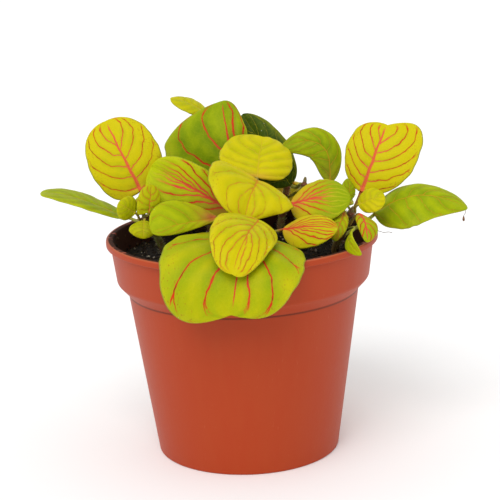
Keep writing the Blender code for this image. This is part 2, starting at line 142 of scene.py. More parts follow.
class Tree:
    """The nodes of one material."""

    def __init__(self, name: str) -> None:
        """Makes an empty material of this name.

        Args:
            name: The material's name.
        """
        self.material = bpy.data.materials.new(name)
        self.material.use_nodes = True
        self.nodes = self.material.node_tree.nodes
        self.links = self.material.node_tree.links
        self.nodes.clear()

    def add(
        self,
        kind: str,
        settings: Mapping[str, Any] | None = None,
        inputs: Mapping[str | int, Any] | None = None,
        output: str | int = 0,
    ) -> Flow:
        """Adds one node.

        Args:
            kind: The node's type.
            settings: What the node is set to, before its sockets are filled.
            inputs: A constant or a Flow for each socket, by its name or number.
            output: The output that goes on.

        Returns:
            The node's output.
        """
        node = self.nodes.new(kind)
        for setting, value in (settings or {}).items():
            setattr(node, setting, value)
        for place, value in (inputs or {}).items():
            socket = node.inputs[place]
            if isinstance(value, Flow):
                self.links.new(value.socket, socket)
            elif socket.type == "RGBA":
                socket.default_value = (*value, 1.0)
            else:
                socket.default_value = value
        return Flow(self, node.outputs[output])

    def math(self, operation: str, *values: "Flow | float") -> Flow:
        """A Math node on one or two values."""
        return self.add("ShaderNodeMath", {"operation": operation}, dict(enumerate(values)))

    def mixed(self, share: Flow, first: "Flow | Colour", second: "Flow | Colour") -> Flow:
        """The first colour, with a share of the second, held to 0 to 1, mixed in."""
        settings = {"data_type": "RGBA", "clamp_factor": True}
        return self.add("ShaderNodeMix", settings, {0: share, 6: first, 7: second}, output=2)

    def parts(self, vector: Flow) -> tuple[Flow, Flow, Flow]:
        """A vector's three numbers."""
        node = self.add("ShaderNodeSeparateXYZ", inputs={"Vector": vector}).socket.node
        return Flow(self, node.outputs[0]), Flow(self, node.outputs[1]), Flow(self, node.outputs[2])

    def reading(self, name: str) -> tuple[Flow, Flow, Flow]:
        """The three numbers that a mesh holds at each point under this name."""
        return self.parts(self.add("ShaderNodeAttribute", {"attribute_name": name}, output="Vector"))

    def joined(self, x: "Flow | float", y: "Flow | float", z: "Flow | float" = 0.0) -> Flow:
        """Three numbers as a vector."""
        return self.add("ShaderNodeCombineXYZ", inputs={"X": x, "Y": y, "Z": z})

    def place(self) -> Flow:
        """The point's place on the piece, in millimetres."""
        metres = self.add("ShaderNodeTexCoord", output="Object")
        settings = {"operation": "SCALE"}
        return self.add("ShaderNodeVectorMath", settings, {0: metres, "Scale": 1.0 / MM})

    def clouds(self, place: Flow, scale: float, detail: float = 2.0, rough: float = 0.5) -> Flow:
        """Soft noise about one half, with its scale as features for each unit of place."""
        inputs = {"Vector": place, "Scale": scale, "Detail": detail, "Roughness": rough}
        return self.add("ShaderNodeTexNoise", inputs=inputs, output=0)

    def cells(self, place: Flow, scale: float, feature: str = "F1") -> Flow:
        """The distance to the middle or to the edge of irregular cells."""
        inputs = {"Vector": place, "Scale": scale}
        return self.add("ShaderNodeTexVoronoi", {"feature": feature}, inputs, output="Distance")

    def relief(self, height: Flow, depth: float) -> Flow:
        """A bumped normal: depth in millimetres for a height of 1."""
        return self.add("ShaderNodeBump", inputs={"Height": height, "Distance": depth * MM})

    def surfaced(self, **sockets: Any) -> bpy.types.Material:
        """Ends the material with its shader.

        Args:
            **sockets: The shader's sockets, with an underscore for each space in a name.

        Returns:
            The finished material.
        """
        inputs = {name.replace("_", " "): value for name, value in sockets.items()}
        shader = self.add("ShaderNodeBsdfPrincipled", inputs=inputs)
        self.links.new(shader.socket, self.nodes.new("ShaderNodeOutputMaterial").inputs["Surface"])
        return self.material


@dataclass(frozen=True)
class LeafFinish:
    """A living leaf: a waxy blade that runs from sunny to grassy, with red veins sunk in it."""

    slot: Slot
    sunny: Colour
    grassy: Colour
    underside: Colour = (0.33, 0.37, 0.020)
    pale_vein: Colour = (0.56, 0.53, 0.020)
    red_vein: Colour = (0.55, 0.035, 0.008)
    dark_vein: Colour = (0.30, 0.022, 0.008)
    rose_vein: Colour = (0.70, 0.09, 0.05)
    blush: Colour = (0.60, 0.10, 0.06)
    amber: Colour = (0.56, 0.24, 0.006)
    stalk: Colour = (0.36, 0.36, 0.06)
    stalk_blush: Colour = (0.30, 0.085, 0.035)
    dust: Colour = (0.80, 0.80, 0.66)
    drift_scale: float = 0.33
    fine_scale: float = 1.3
    broad_scale: float = 0.10
    bend_scale: float = 0.13
    net_scale: float = 0.36
    dust_scale: float = 0.21
    tissue_scale: float = 1.9
    vein_wander: float = 3.6
    rib_wander: float = 1.6
    fork_start: float = 0.84
    fork_spread: float = 0.8
    widest_vein: float = 0.42
    vein_heart: float = 0.25
    vein_edge: float = 0.62

    def material(self) -> bpy.types.Material:
        """The finish as nodes that read each leaf's own plan from its points.

        Returns:
            The material.
        """
        tree = Tree(self.slot.value)
        along, across, under = tree.reading("leaf_place")
        run, span, phase = tree.reading("leaf_metric")
        last, pitch, broken = tree.reading("leaf_laterals")
        red, broad, rib = tree.reading("leaf_veins")
        green, flush, rosy = tree.reading("leaf_tone")
        flat = tree.joined(run, span)
        reach = abs(across)
        drift = tree.clouds(flat, self.drift_scale, 2.0)
        fine = tree.clouds(flat, self.fine_scale, 2.0)
        mottle = tree.clouds(flat, self.broad_scale, 3.0)
        top = 1.0 - under

        bent = tree.clouds(flat, self.bend_scale, 3.0)
        lateral = phase + across.above(0.0) * LATERAL_STAGGER + (bent - 0.5) * self.vein_wander / pitch
        number = lateral.nearest().larger(0.0).smaller(last)
        edge = reach.larger(along * 0.96)
        fork = (edge - self.fork_start).larger(0.0) * pitch * self.fork_spread
        off = abs(abs(lateral - number) * pitch - fork)
        width = (broad * (1.05 - 0.45 * reach) * (0.75 + 0.5 * drift)).smaller(pitch * self.widest_vein)
        line = 1.0 - off.eased(width * self.vein_heart, width * self.vein_edge)
        ending = 1.0 - (edge + (drift - 0.5) * 0.2).eased(0.86, 0.96)
        kept = drift.eased(broken - 0.10, broken + 0.06)
        rib_width = rib * (1.0 - 0.68 * along) * (0.85 + 0.3 * drift)
        rib_off = abs(span + (bent - 0.5) * self.rib_wander * along.eased(0.0, 0.2))
        rib_line = 1.0 - rib_off.eased(rib_width * self.vein_heart, rib_width * self.vein_edge)
        rib_line = rib_line * (1.0 - along.eased(0.88, 0.98))
        veins = (line * ending * kept).larger(rib_line)
        glow = (1.0 - off.eased(0.0, width * 2.2)) * ending

        # Painted shade and highlight: the blade is greener along the sunk veins and lighter on the swells
        # between them, as the relief's light and shade would fall.
        painted_valley_shade = 0.5 - abs(lateral - number).smaller(0.5)
        grassiness_and_relief_shade = green + (mottle - 0.5) * 1.1 + (painted_valley_shade - 0.25) * 0.7 - reach * 0.15
        blade = tree.mixed(grassiness_and_relief_shade, self.sunny, self.grassy)
        blade = tree.mixed(reach.eased(0.7, 1.0) * 0.20, blade, self.pale_vein)
        stirred = tree.joined(run + drift * 3.0, span + fine * 1.5)
        net_edge = tree.cells(stirred, self.net_scale, "DISTANCE_TO_EDGE")
        net = 1.0 - net_edge.eased(0.01, 0.09)
        blade = tree.mixed(net * 0.07, blade, self.pale_vein)
        speckle = (1.0 - net_edge.eased(0.02, 0.08)) * fine.eased(0.56, 0.64) * reach.eased(0.55, 0.9)
        blade = tree.mixed(speckle * red * 0.6 * top, blade, self.dark_vein)
        blade = tree.mixed(glow * red * 0.22, blade, self.amber)
        blade = tree.mixed(flush * (0.45 + 1.1 * mottle), blade, self.blush)
        dark = drift.eased(0.42, 0.66) * reach.eased(0.25, 0.8)
        reddest = tree.mixed(dark, self.red_vein, self.dark_vein)
        reddest = tree.mixed(rosy * (1.0 - reach.eased(0.10, 0.45)), reddest, self.rose_vein)
        vein_colour = tree.mixed(red, self.pale_vein, reddest)
        skin = tree.mixed(veins * (1.0 - under * 0.65) * (0.35 + 0.65 * red), blade, vein_colour)
        skin = tree.mixed(under * 0.55, skin, self.underside)
        rim = reach.eased(0.965, 1.0) * along.eased(0.02, 0.1)
        skin = tree.mixed(rim * 0.45, skin, self.stalk)
        specks = (1.0 - tree.cells(flat, self.dust_scale).eased(0.020, 0.045)) * fine.eased(0.5, 0.56) * top
        skin = tree.mixed(specks * 0.8, skin, self.dust)
        stalk = tree.mixed(rosy * (0.25 + 0.9 * drift), self.stalk, self.stalk_blush)
        skin = tree.mixed(1.0 - along.eased(-0.10, 0.03), skin, stalk)

        tissue = tree.cells(flat, self.tissue_scale)
        height = 0.55 * (1.0 - veins * top) + 0.30 * tissue + 0.35 * fine + veins * under * 0.9
        return tree.surfaced(
            Base_Color=skin,
            Roughness=0.40 + 0.16 * fine + 0.10 * under,
            Normal=tree.relief(height, 0.16),
            Specular_IOR_Level=0.07,
            Subsurface_Weight=0.15,
            Subsurface_Radius=(1.0, 0.9, 0.1),
            Subsurface_Scale=0.0005,
        )


@dataclass(frozen=True)
class StemFinish:
    """A young hairy stem, green with a red-brown flush."""

    green: Colour = (0.24, 0.26, 0.055)
    flush: Colour = (0.22, 0.075, 0.035)
    hair: Colour = (0.60, 0.56, 0.38)

    def material(self) -> bpy.types.Material:
        """The finish as nodes.

        Returns:
            The material.
        """
        tree = Tree(Slot.STEM.value)
        height, hairy, swelling = tree.reading("stem_place")
        place = tree.place()
        patches = tree.clouds(place, 0.35, 3.0)
        streaks = tree.clouds(place, 2.2, 2.0)
        flushed = patches.eased(0.40, 0.66) * 0.8 + swelling * 0.7
        skin = tree.mixed(flushed, self.green, self.flush)
        skin = tree.mixed((1.0 - height.eased(0.0, 0.25)) * 0.6, skin, self.flush)
        skin = tree.mixed(hairy, skin, self.hair)
        return tree.surfaced(
            Base_Color=skin,
            Roughness=0.52 + 0.2 * streaks,
            Normal=tree.relief(streaks, 0.12),
            Specular_IOR_Level=0.3,
            Subsurface_Weight=0.1,
            Subsurface_Radius=(1.0, 0.7, 0.3),
            Subsurface_Scale=0.0006,
        )


@dataclass(frozen=True)
class PlasticFinish:
    """Moulded plastic of a terracotta colour, semi-matt, with a painted highlight on the lip's top edge, a
    painted shadow line where the collar meets the body, and the inner wall near black below the lip with
    compost crumbs near the rim.
    """

    lip_height: float
    soil_height: float
    collar_foot: Pair
    collar_flare: float
    joint_height: float
    joint_radius: float
    clay: Colour = (0.39, 0.038, 0.004)
    faded: Colour = (0.40, 0.060, 0.010)
    wear_and_highlight: Colour = (0.52, 0.17, 0.08)
    dirt_and_painted_shade: Colour = (0.012, 0.007, 0.004)

    def material(self) -> bpy.types.Material:
        """The finish as nodes, placed by the height and the distance from the pot's axis.

        Returns:
            The material.
        """
        tree = Tree(Slot.POT.value)
        place = tree.place()
        x, y, z = tree.parts(place)
        radius = (x * x + y * y) ** 0.5
        cloud = tree.clouds(place, 0.035, 3.0)
        flow_lines = tree.clouds(tree.joined(x * 0.22, y * 0.22, z * 0.02), 1.0, 3.0)
        grain = tree.clouds(place, 3.2, 3.0)
        scuffs = tree.clouds(tree.joined(x * 1.6, y * 1.6, z * 0.25), 0.8, 4.0)
        skin = tree.mixed(0.25 * cloud + 0.45 * flow_lines - 0.1, self.clay, self.faded)
        skin = tree.mixed(scuffs.eased(0.66, 0.80) * 0.25, skin, self.wear_and_highlight)
        foot_radius, foot_height = self.collar_foot
        outer = foot_radius + (z - foot_height) * self.collar_flare
        # Painted highlight: the top of the rolled lip, outside the collar, is lightened towards a pale
        # pink.
        edge = z.eased(self.lip_height - 0.7, self.lip_height) * (radius - outer).eased(-1.0, 1.0)
        skin = tree.mixed(edge * 0.35, skin, self.wear_and_highlight)
        # Painted shade: a thin near-black line on the outside where the collar's ledge meets the body.
        joint = 1.0 - abs(z - self.joint_height).eased(0.15, 0.75)
        joint = joint * (radius - self.joint_radius).eased(-0.8, -0.4)
        skin = tree.mixed(joint * 0.55, skin, self.dirt_and_painted_shade)
        # Inside, the wall below the lip is made near black over most of its face, and more so towards the
        # compost; dark crumbs speck it near the rim.
        rolled = z.eased(self.lip_height - 1.6, self.lip_height - 0.6) * 1.2
        inside = (1.0 - (radius - outer - rolled).eased(-0.9, -0.5)) * z.above(foot_height)
        low = 1.0 - z.eased(self.soil_height + 2.0, self.lip_height + 1.0)
        blotches = tree.clouds(place, 0.30, 5.0, 0.62)
        darkened_inside = inside * (blotches + low * 0.45 + 0.18).eased(0.48, 0.62)
        crumbs = (1.0 - tree.cells(place, 0.33).eased(0.06, 0.12)) * blotches.eased(0.57, 0.63)
        near_rim = z.eased(self.lip_height - 9.0, self.lip_height) * 0.5
        skin = tree.mixed((darkened_inside * 0.92).larger(crumbs * near_rim), skin, self.dirt_and_painted_shade)
        return tree.surfaced(
            Base_Color=skin,
            Roughness=0.42 + 0.12 * scuffs + 0.35 * darkened_inside,
            Normal=tree.relief(grain + darkened_inside * 2.0 + flow_lines * 1.2, 0.03),
            Specular_IOR_Level=0.24,
        )


@dataclass(frozen=True)
class CompostFinish:
    """Moist peat: near black, with browner crumbs."""

    wet: Colour = (0.010, 0.0065, 0.0042)
    damp: Colour = (0.045, 0.026, 0.014)
    husk: Colour = (0.13, 0.075, 0.038)

    def material(self) -> bpy.types.Material:
        """The finish as nodes that read how brown each crumb is.

        Returns:
            The material.
        """
        tree = Tree(Slot.COMPOST.value)
        brown, _, _ = tree.reading("crumb_tone")
        place = tree.place()
        lumps = tree.clouds(place, 0.55, 5.0, 0.65)
        grit = tree.clouds(place, 3.0, 4.0, 0.7)
        skin = tree.mixed(lumps.eased(0.50, 0.72) * 0.7, self.wet, self.damp)
        skin = tree.mixed(brown * (0.4 + grit), skin, self.husk)
        return tree.surfaced(
            Base_Color=skin,
            Roughness=0.78 + 0.2 * grit,
            Normal=tree.relief(grit + lumps, 0.35),
            Specular_IOR_Level=0.25,
        )


@dataclass(frozen=True)
class GrainFinish:
    """Pale mineral grains and dry husks among the compost, and the dried drop on a leaf's tip."""

    name: str
    dark: Colour
    light: Colour
    slot: Slot = Slot.COMPOST

    def material(self) -> bpy.types.Material:
        """The finish as nodes.

        Returns:
            The material.
        """
        tree = Tree(self.name)
        place = tree.place()
        patches = tree.clouds(place, 0.9, 4.0)
        pores = tree.clouds(place, 5.0, 2.0)
        skin = tree.mixed(patches.eased(0.36, 0.62), self.dark, self.light)
        skin = tree.mixed((1.0 - pores.eased(0.30, 0.44)) * 0.6, skin, self.dark)
        return tree.surfaced(Base_Color=skin, Roughness=0.7 + 0.2 * pores, Normal=tree.relief(pores, 0.12))


@dataclass(frozen=True)
class FloorFinish:
    """A plain pale studio floor."""

    pale: Colour = (0.97, 0.97, 0.97)
    shade: Colour = (0.95, 0.95, 0.95)

    def material(self) -> bpy.types.Material:
        """The finish as nodes.

        Returns:
            The material.
        """
        tree = Tree("pale_floor")
        cloud = tree.clouds(tree.place(), 0.002, 2.0)
        skin = tree.mixed(cloud, self.pale, self.shade)
        return tree.surfaced(Base_Color=skin, Roughness=0.8 + 0.1 * cloud, Specular_IOR_Level=0.1)


# ---------------------------------------------------------------- shapes


@dataclass
class Shape:
    """Points in millimetres, the faces that join them, and what each point holds for its finish."""

    points: np.ndarray
    faces: list[Sequence[int]]
    held: dict[str, np.ndarray] = field(default_factory=dict)

    @classmethod
    def joined(cls, shapes: Iterable["Shape"]) -> "Shape":
        """Several shapes as one. All hold values of the same names.

        Args:
            shapes: The shapes to join.

        Returns:
            The one shape.
        """
        listed = list(shapes)
        faces: list[Sequence[int]] = []
        start = 0
        for shape in listed:
            faces.extend([start + corner for corner in face] for face in shape.faces)
            start += len(shape.points)
        held = {name: np.concatenate([shape.held[name] for shape in listed]) for name in listed[0].held}
        return cls(np.concatenate([shape.points for shape in listed]), faces, held)

    def piece(
        self, name: str, material: bpy.types.Material, slot: Slot, stands_for: Sequence[str] = ()
    ) -> bpy.types.Object:
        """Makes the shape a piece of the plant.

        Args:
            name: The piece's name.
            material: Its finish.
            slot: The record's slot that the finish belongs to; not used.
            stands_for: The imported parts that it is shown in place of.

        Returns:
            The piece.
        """
        mesh = bpy.data.meshes.new(name)
        mesh.from_pydata((self.points * MM).tolist(), [], self.faces)
        for label, values in self.held.items():
            layer = mesh.attributes.new(label, "FLOAT_VECTOR", "POINT")
            layer.data.foreach_set("vector", values.astype(np.float32).ravel())
        return dressed(name, mesh, material, stands_for)


def placed(name: str, data: bpy.types.ID) -> bpy.types.Object:
    """An object of this name in the scene, with its mesh, lamp or camera."""
    made = bpy.data.objects.new(name, data)
    bpy.context.scene.collection.objects.link(made)
    return made


def meshed(name: str, shape: bmesh.types.BMesh) -> bpy.types.Mesh:
    """The mesh of a shape that was put together, which is freed.

    Args:
        name: The mesh's name.
        shape: The shape, which is freed.

    Returns:
        The mesh.
    """
    mesh = bpy.data.meshes.new(name)
    shape.to_mesh(mesh)
    shape.free()
    return mesh


def dressed(
    name: str, mesh: bpy.types.Mesh, material: bpy.types.Material, stands_for: Sequence[str]
) -> bpy.types.Object:
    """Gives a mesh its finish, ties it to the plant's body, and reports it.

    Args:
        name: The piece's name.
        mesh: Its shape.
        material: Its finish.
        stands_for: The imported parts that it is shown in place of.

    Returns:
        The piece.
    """
    mesh.shade_smooth()
    mesh.materials.append(material)
    made = placed(name, mesh)
    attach(made, BODY)
    if stands_for:
        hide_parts(*stands_for)
    log.info("%s: %d points, %d faces", name, len(mesh.vertices), len(mesh.polygons))
    return made


def unit(vectors: np.ndarray) -> np.ndarray:
    """Each vector at length 1."""
    return vectors / np.linalg.norm(vectors, axis=-1, keepdims=True)


def square_to(vectors: np.ndarray, ways: np.ndarray) -> np.ndarray:
    """The part of each vector that is square to its way, at length 1."""
    return unit(vectors - ways * np.sum(vectors * ways, axis=-1, keepdims=True))


def eased(values: np.ndarray, low: float, high: float) -> np.ndarray:
    """A smooth step: 0 up to low and 1 from high on."""
    share = np.clip((values - low) / (high - low), 0.0, 1.0)
    return share * share * (3.0 - 2.0 * share)


def curve(points: Sequence[Any], share: Any) -> Any:
    """The place at a share of the way along the Bezier curve that these points pull."""
    while len(points) > 1:
        points = [start * (1 - share) + end * share for start, end in zip(points, points[1:])]
    return points[0]


def heading(points: Sequence[Any], share: Any) -> np.ndarray:
    """The way that such a curve runs at a share."""
    return unit(curve([end - start for start, end in zip(points, points[1:])], share))


def ringed_faces(rings: int, sides: int) -> list[Sequence[int]]:
    """The faces of a closed tube whose points come ring by ring.

    Args:
        rings: How many rings there are.
        sides: How many points each ring has.

    Returns:
        The faces, facing out where a ring runs clockwise seen from the tube's start.
    """
    faces: list[Sequence[int]] = []
    for low in range(0, (rings - 1) * sides, sides):
        for side in range(sides):
            after = (side + 1) % sides
            faces.append((low + side, low + after, low + sides + after, low + sides + side))
    return [*faces, tuple(reversed(range(sides))), tuple(range((rings - 1) * sides, rings * sides))]


def tube(path: np.ndarray, radii: np.ndarray, sides: int) -> Shape:
    """A closed round tube along a path, with a radius at each of the path's points.

    Args:
        path: The points of the tube's middle line.
        radii: The radius at each of them.
        sides: How many sides the tube has.

    Returns:
        The tube.
    """
    ways = unit(np.gradient(path, axis=0))
    lean = np.round(np.abs(ways).mean(axis=0), 6)
    least = 2 - int(np.argmin(lean[::-1]))  # the axis it leans to least, the later one in a tie
    right = square_to(np.broadcast_to(np.eye(3)[least], path.shape), ways)
    ahead = np.cross(ways, right)
    angles = (np.arange(sides) / sides * 2.0 * math.pi)[None, :, None]
    round_part = right[:, None] * np.cos(angles) + ahead[:, None] * np.sin(angles)
    points = path[:, None] + round_part * radii[:, None, None]
    return Shape(points.reshape(-1, 3), ringed_faces(len(path), sides))


def ball(divisions: int) -> tuple[np.ndarray, np.ndarray]:
    """The points and triangles of a ball of radius 1.

    Args:
        divisions: How fine it is: each step more makes four triangles of one.

    Returns:
        The points, and each triangle's three corners.
    """
    shape = bmesh.new()
    bmesh.ops.create_icosphere(shape, subdivisions=divisions, radius=1.0)
    points = np.array([vert.co for vert in shape.verts])
    faces = np.array([[vert.index for vert in face.verts] for face in shape.faces])
    shape.free()
    return points, faces


def lumps(
    centres: np.ndarray, sizes: np.ndarray, tones: np.ndarray, chance: np.random.Generator, rough: float
) -> Shape:
    """Irregular lumps, each a ball that is stretched, turned and dented by chance.

    Args:
        centres: The middle of each lump.
        sizes: The radius of each lump.
        tones: What each lump holds as its crumb_tone.
        chance: Where the random numbers come from.
        rough: How uneven a lump is, as a share of its radius.

    Returns:
        All lumps as one shape.
    """
    ball_points, ball_faces = ball(2)
    count, corners = len(centres), len(ball_points)
    stretch = chance.uniform(0.55, 1.35, (count, 1, 3))
    dents = 1.0 + chance.normal(0.0, rough, (count, corners, 1))
    spin = unit(chance.normal(size=(count, 4)))
    w, x, y, z = spin.T
    turn = np.empty((count, 3, 3))
    turn[:, 0] = np.stack([1 - 2 * (y * y + z * z), 2 * (x * y - w * z), 2 * (x * z + w * y)], 1)
    turn[:, 1] = np.stack([2 * (x * y + w * z), 1 - 2 * (x * x + z * z), 2 * (y * z - w * x)], 1)
    turn[:, 2] = np.stack([2 * (x * z - w * y), 2 * (y * z + w * x), 1 - 2 * (x * x + y * y)], 1)
    local = ball_points[None] * stretch * dents * sizes[:, None, None]
    points = np.einsum("nij,nkj->nki", turn, local) + centres[:, None]
    faces = (ball_faces[None] + (np.arange(count) * corners)[:, None, None]).reshape(-1, 3)
    held = np.zeros((count, corners, 3))
    held[:, :, 0] = tones[:, None]
    return Shape(points.reshape(-1, 3), faces.tolist(), {"crumb_tone": held.reshape(-1, 3)})


# ---------------------------------------------------------------- stems


SOIL_MIDDLE = 89.0
STEM_SINK = 5.0
STEM_FREE = 1.0


@dataclass(frozen=True)
class StemPlan:
    """One shoot's stem: its foot in the compost, and the points that it passes above that."""

    name: str
    foot: Pair
    points: tuple[Triple, ...]
    foot_radius: float = 1.7
    top_radius: float = 1.3

    def route(self) -> np.ndarray:
        """The points that the stem is bent through, from the foot up."""
        low = (*self.foot, SOIL_MIDDLE - STEM_SINK)
        free = (*self.foot, SOIL_MIDDLE + STEM_FREE)
        return np.array([low, free, *self.points], float)

    def at(self, share: float) -> tuple[np.ndarray, np.ndarray]:
        """A point of the stem.

        Args:
            share: The share of the way from where the stem leaves the compost to its top.

        Returns:
            The point, and the way that the stem runs there.
        """
        route = self.route()
        spans = len(route) - 2
        place = min(max(share, 0.0), 1.0) * spans
        index = min(int(place), spans - 1) + 1
        start, end, before = route[index], route[index + 1], route[index - 1]
        after = route[min(index + 2, len(route) - 1)]
        pulls = (start, start + (end - before) / 6, end - (after - start) / 6, end)
        local = place - (index - 1)
        return curve(pulls, local), heading(pulls, local)


@dataclass
class Stem:
    """A stem with swollen joints, a bud at its top and short hairs all over."""

    plan: StemPlan
    joints: tuple[float, ...]
    steps: int = 34
    sides: int = 18
    joint_swelling: float = 0.24
    joint_length: float = 1.3
    hairs: int = 260
    hair_length: Pair = (0.7, 1.5)
    hair_radius: float = 0.055
    bud_size: Triple = (0.95, 0.42, 1.9)
    rounded_top: tuple[Pair, ...] = ((0.5, 0.86), (0.9, 0.55), (1.1, 0.2))

    def radius(self, share: float) -> float:
        """The stem's radius at this share of its length, without its swollen joints."""
        return self.plan.foot_radius + (self.plan.top_radius - self.plan.foot_radius) * max(share, 0.0)

    def shaft(self) -> Shape:
        """The stem itself, from below the compost's surface to its rounded top.

        Returns:
            The closed shaft, without the bud.
        """
        route = self.plan.route()
        length = float(np.sum(np.linalg.norm(np.diff(route[1:], axis=0), axis=1)))
        path, radii, held = [], [], []
        for share in (-1.0, *np.linspace(0.0, 1.0, self.steps)):
            near = min(abs(share - joint) for joint in self.joints) * length / self.joint_length
            swollen = math.exp(-(near**2))
            path.append(route[0] if share < 0 else self.plan.at(float(share))[0])
            radii.append(self.radius(share) * (1.0 + self.joint_swelling * swollen))
            held.append((max(share, 0.0), 0.0, swollen))
        top, way = self.plan.at(1.0)
        for rise, shrink in self.rounded_top:
            path.append(top + way * rise * self.plan.top_radius)
            radii.append(self.plan.top_radius * shrink)
            held.append((1.0, 0.0, 0.6))
        made = tube(np.array(path), np.array(radii), self.sides)
        made.held["stem_place"] = np.repeat(np.array(held), self.sides, axis=0)
        return made

    def hair(self, chance: np.random.Generator) -> Shape:
        """One short hair, standing out from the stem and leaning a little up it.

        Args:
            chance: Where the random numbers come from.

        Returns:
            The hair.
        """
        share = float(chance.uniform(0.02, 1.0))
        foot, way = self.plan.at(share)
        around = square_to(chance.normal(size=3), way)
        length = float(chance.uniform(*self.hair_length))
        start = foot + around * self.radius(share) * 0.9
        bend = start + around * length * 0.6 + way * length * 0.1
        end = start + around * length + way * length * 0.45
        made = tube(np.array([start, bend, end]), np.array([1.0, 0.75, 0.2]) * self.hair_radius, 4)
        made.held["stem_place"] = np.tile((share, 0.85, 0.0), (len(made.points), 1))
        return made

    def bud(self) -> list[Shape]:
        """The two folded leaflets that close the top.

        Returns:
            One shape for each leaflet.
        """
        top, way = self.plan.at(1.0)
        right = square_to(np.array((1.0, 0.2, 0.0)), way)
        ahead = np.cross(way, right)
        points, faces = ball(3)
        made = []
        for hand in (-1.0, 1.0):
            sized = points * np.array(self.bud_size)
            narrowed = sized[:, :2] * (1.0 - 0.45 * (points[:, 2:] + 1.0) / 2.0)
            lean = 0.10 * hand * (points[:, 2] + 1.0) * self.bud_size[2]
            offset = narrowed[:, 1:] + hand * self.bud_size[1] + lean[:, None]
            rise = sized[:, 2:] + self.bud_size[2] * 0.8
            place = top + way * rise + right * narrowed[:, :1] + ahead * offset
            held = np.tile((1.0, 0.12, 0.1), (len(points), 1))
            made.append(Shape(place, faces.tolist(), {"stem_place": held}))
        return made

    def build(self, material: bpy.types.Material, seed: int) -> None:
        """Makes the stem and its hairs.

        Args:
            material: The finish of stem and hairs.
            seed: The start of its random numbers.
        """
        chance = np.random.default_rng(seed)
        name = self.plan.name
        Shape.joined([self.shaft(), *self.bud()]).piece(f"{name}_grown", material, Slot.STEM, [name])
        hairs = Shape.joined(self.hair(chance) for _ in range(self.hairs))
        hairs.piece(f"{name}_hairs", material, Slot.STEM)


# ---------------------------------------------------------------- leaves


LATERAL_FIRST = 0.30
LATERAL_STAGGER = 0.30
LATERAL_FAN_GROWTH = 0.8
LEAF_SPACING = 97.0  # keeps the finish's noise on one leaf apart from that on the next


@dataclass(frozen=True)
class VeinLook:
    """How a leaf's veins look.

    red and rosy are shares, broad and rib are the widths of a lateral and of the midrib at its
    foot, and broken is how much of a lateral is missing.
    """

    red: float
    rosy: float
    broad: float
    rib: float
    broken: float = 0.0


class Veins(Enum):
    """The vein looks found on one plant, from old leaves to the newest."""

    BOLD = VeinLook(red=1.0, rosy=0.35, broad=0.88, rib=1.5)
    CLEAR = VeinLook(red=0.95, rosy=0.9, broad=0.55, rib=2.1)
    RICH = VeinLook(red=1.0, rosy=0.7, broad=0.85, rib=1.9)
    FINE = VeinLook(red=0.80, rosy=0.3, broad=0.5, rib=0.9, broken=0.36)
    FAINT = VeinLook(red=0.55, rosy=0.0, broad=0.32, rib=0.7, broken=0.38)
    NEW = VeinLook(red=0.65, rosy=0.35, broad=0.45, rib=1.0, broken=0.46)
    PALE = VeinLook(red=0.28, rosy=0.5, broad=0.5, rib=0.9, broken=0.42)
    DULL = VeinLook(red=0.10, rosy=0.0, broad=0.30, rib=0.5, broken=0.42)


@dataclass(frozen=True)
class LeafPlan:
    """One leaf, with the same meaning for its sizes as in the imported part, and its own colouring.

    The blade runs from base to tip, and face is the way that its upper side looks. half, cup, curl,
    toe and heel are pairs for its two sides: the width, the angle and the bend down of a side, and
    how far its margin goes past the tip and back past the base. rise and sway bow the midrib, and
    blunt shapes the outline. The laterals leave the midrib along its first rooted share. lean is
    how far each of them reaches forward before it meets the margin, fan how much further the later
    ones do, and arch how much of that bend comes near the margin. redness is where along the blade
    the veins' red ends. green is how grassy the blade is at its base and its tip, flush how red the
    base is and how far that reaches, and puff how far the blade swells between its veins.
    """

    name: str
    stem: str
    height: float
    base: Triple
    tip: Triple
    face: Triple
    half: Pair
    veins: Veins
    green: Pair
    slot: Slot = Slot.LEAF_LIME
    rise: Pair = (1, 2)
    sway: Pair = (0, 0)
    cup: Pair = (0, 0)
    curl: Pair = (30, 30)
    blunt: Pair = (0.45, 0.5)
    toe: Pair = (0, 0)
    heel: Pair = (0, 0)
    laterals: int = 4
    rooted: float = 0.8
    lean: float = 0.18
    fan: float = 0.3
    arch: float = 0.6
    redness: float = 1.4
    flush: Pair = (0.0, 0.2)
    puff: float = 0.5

    def chord(self) -> float:
        """The straight length of the blade."""
        return math.dist(self.base, self.tip)


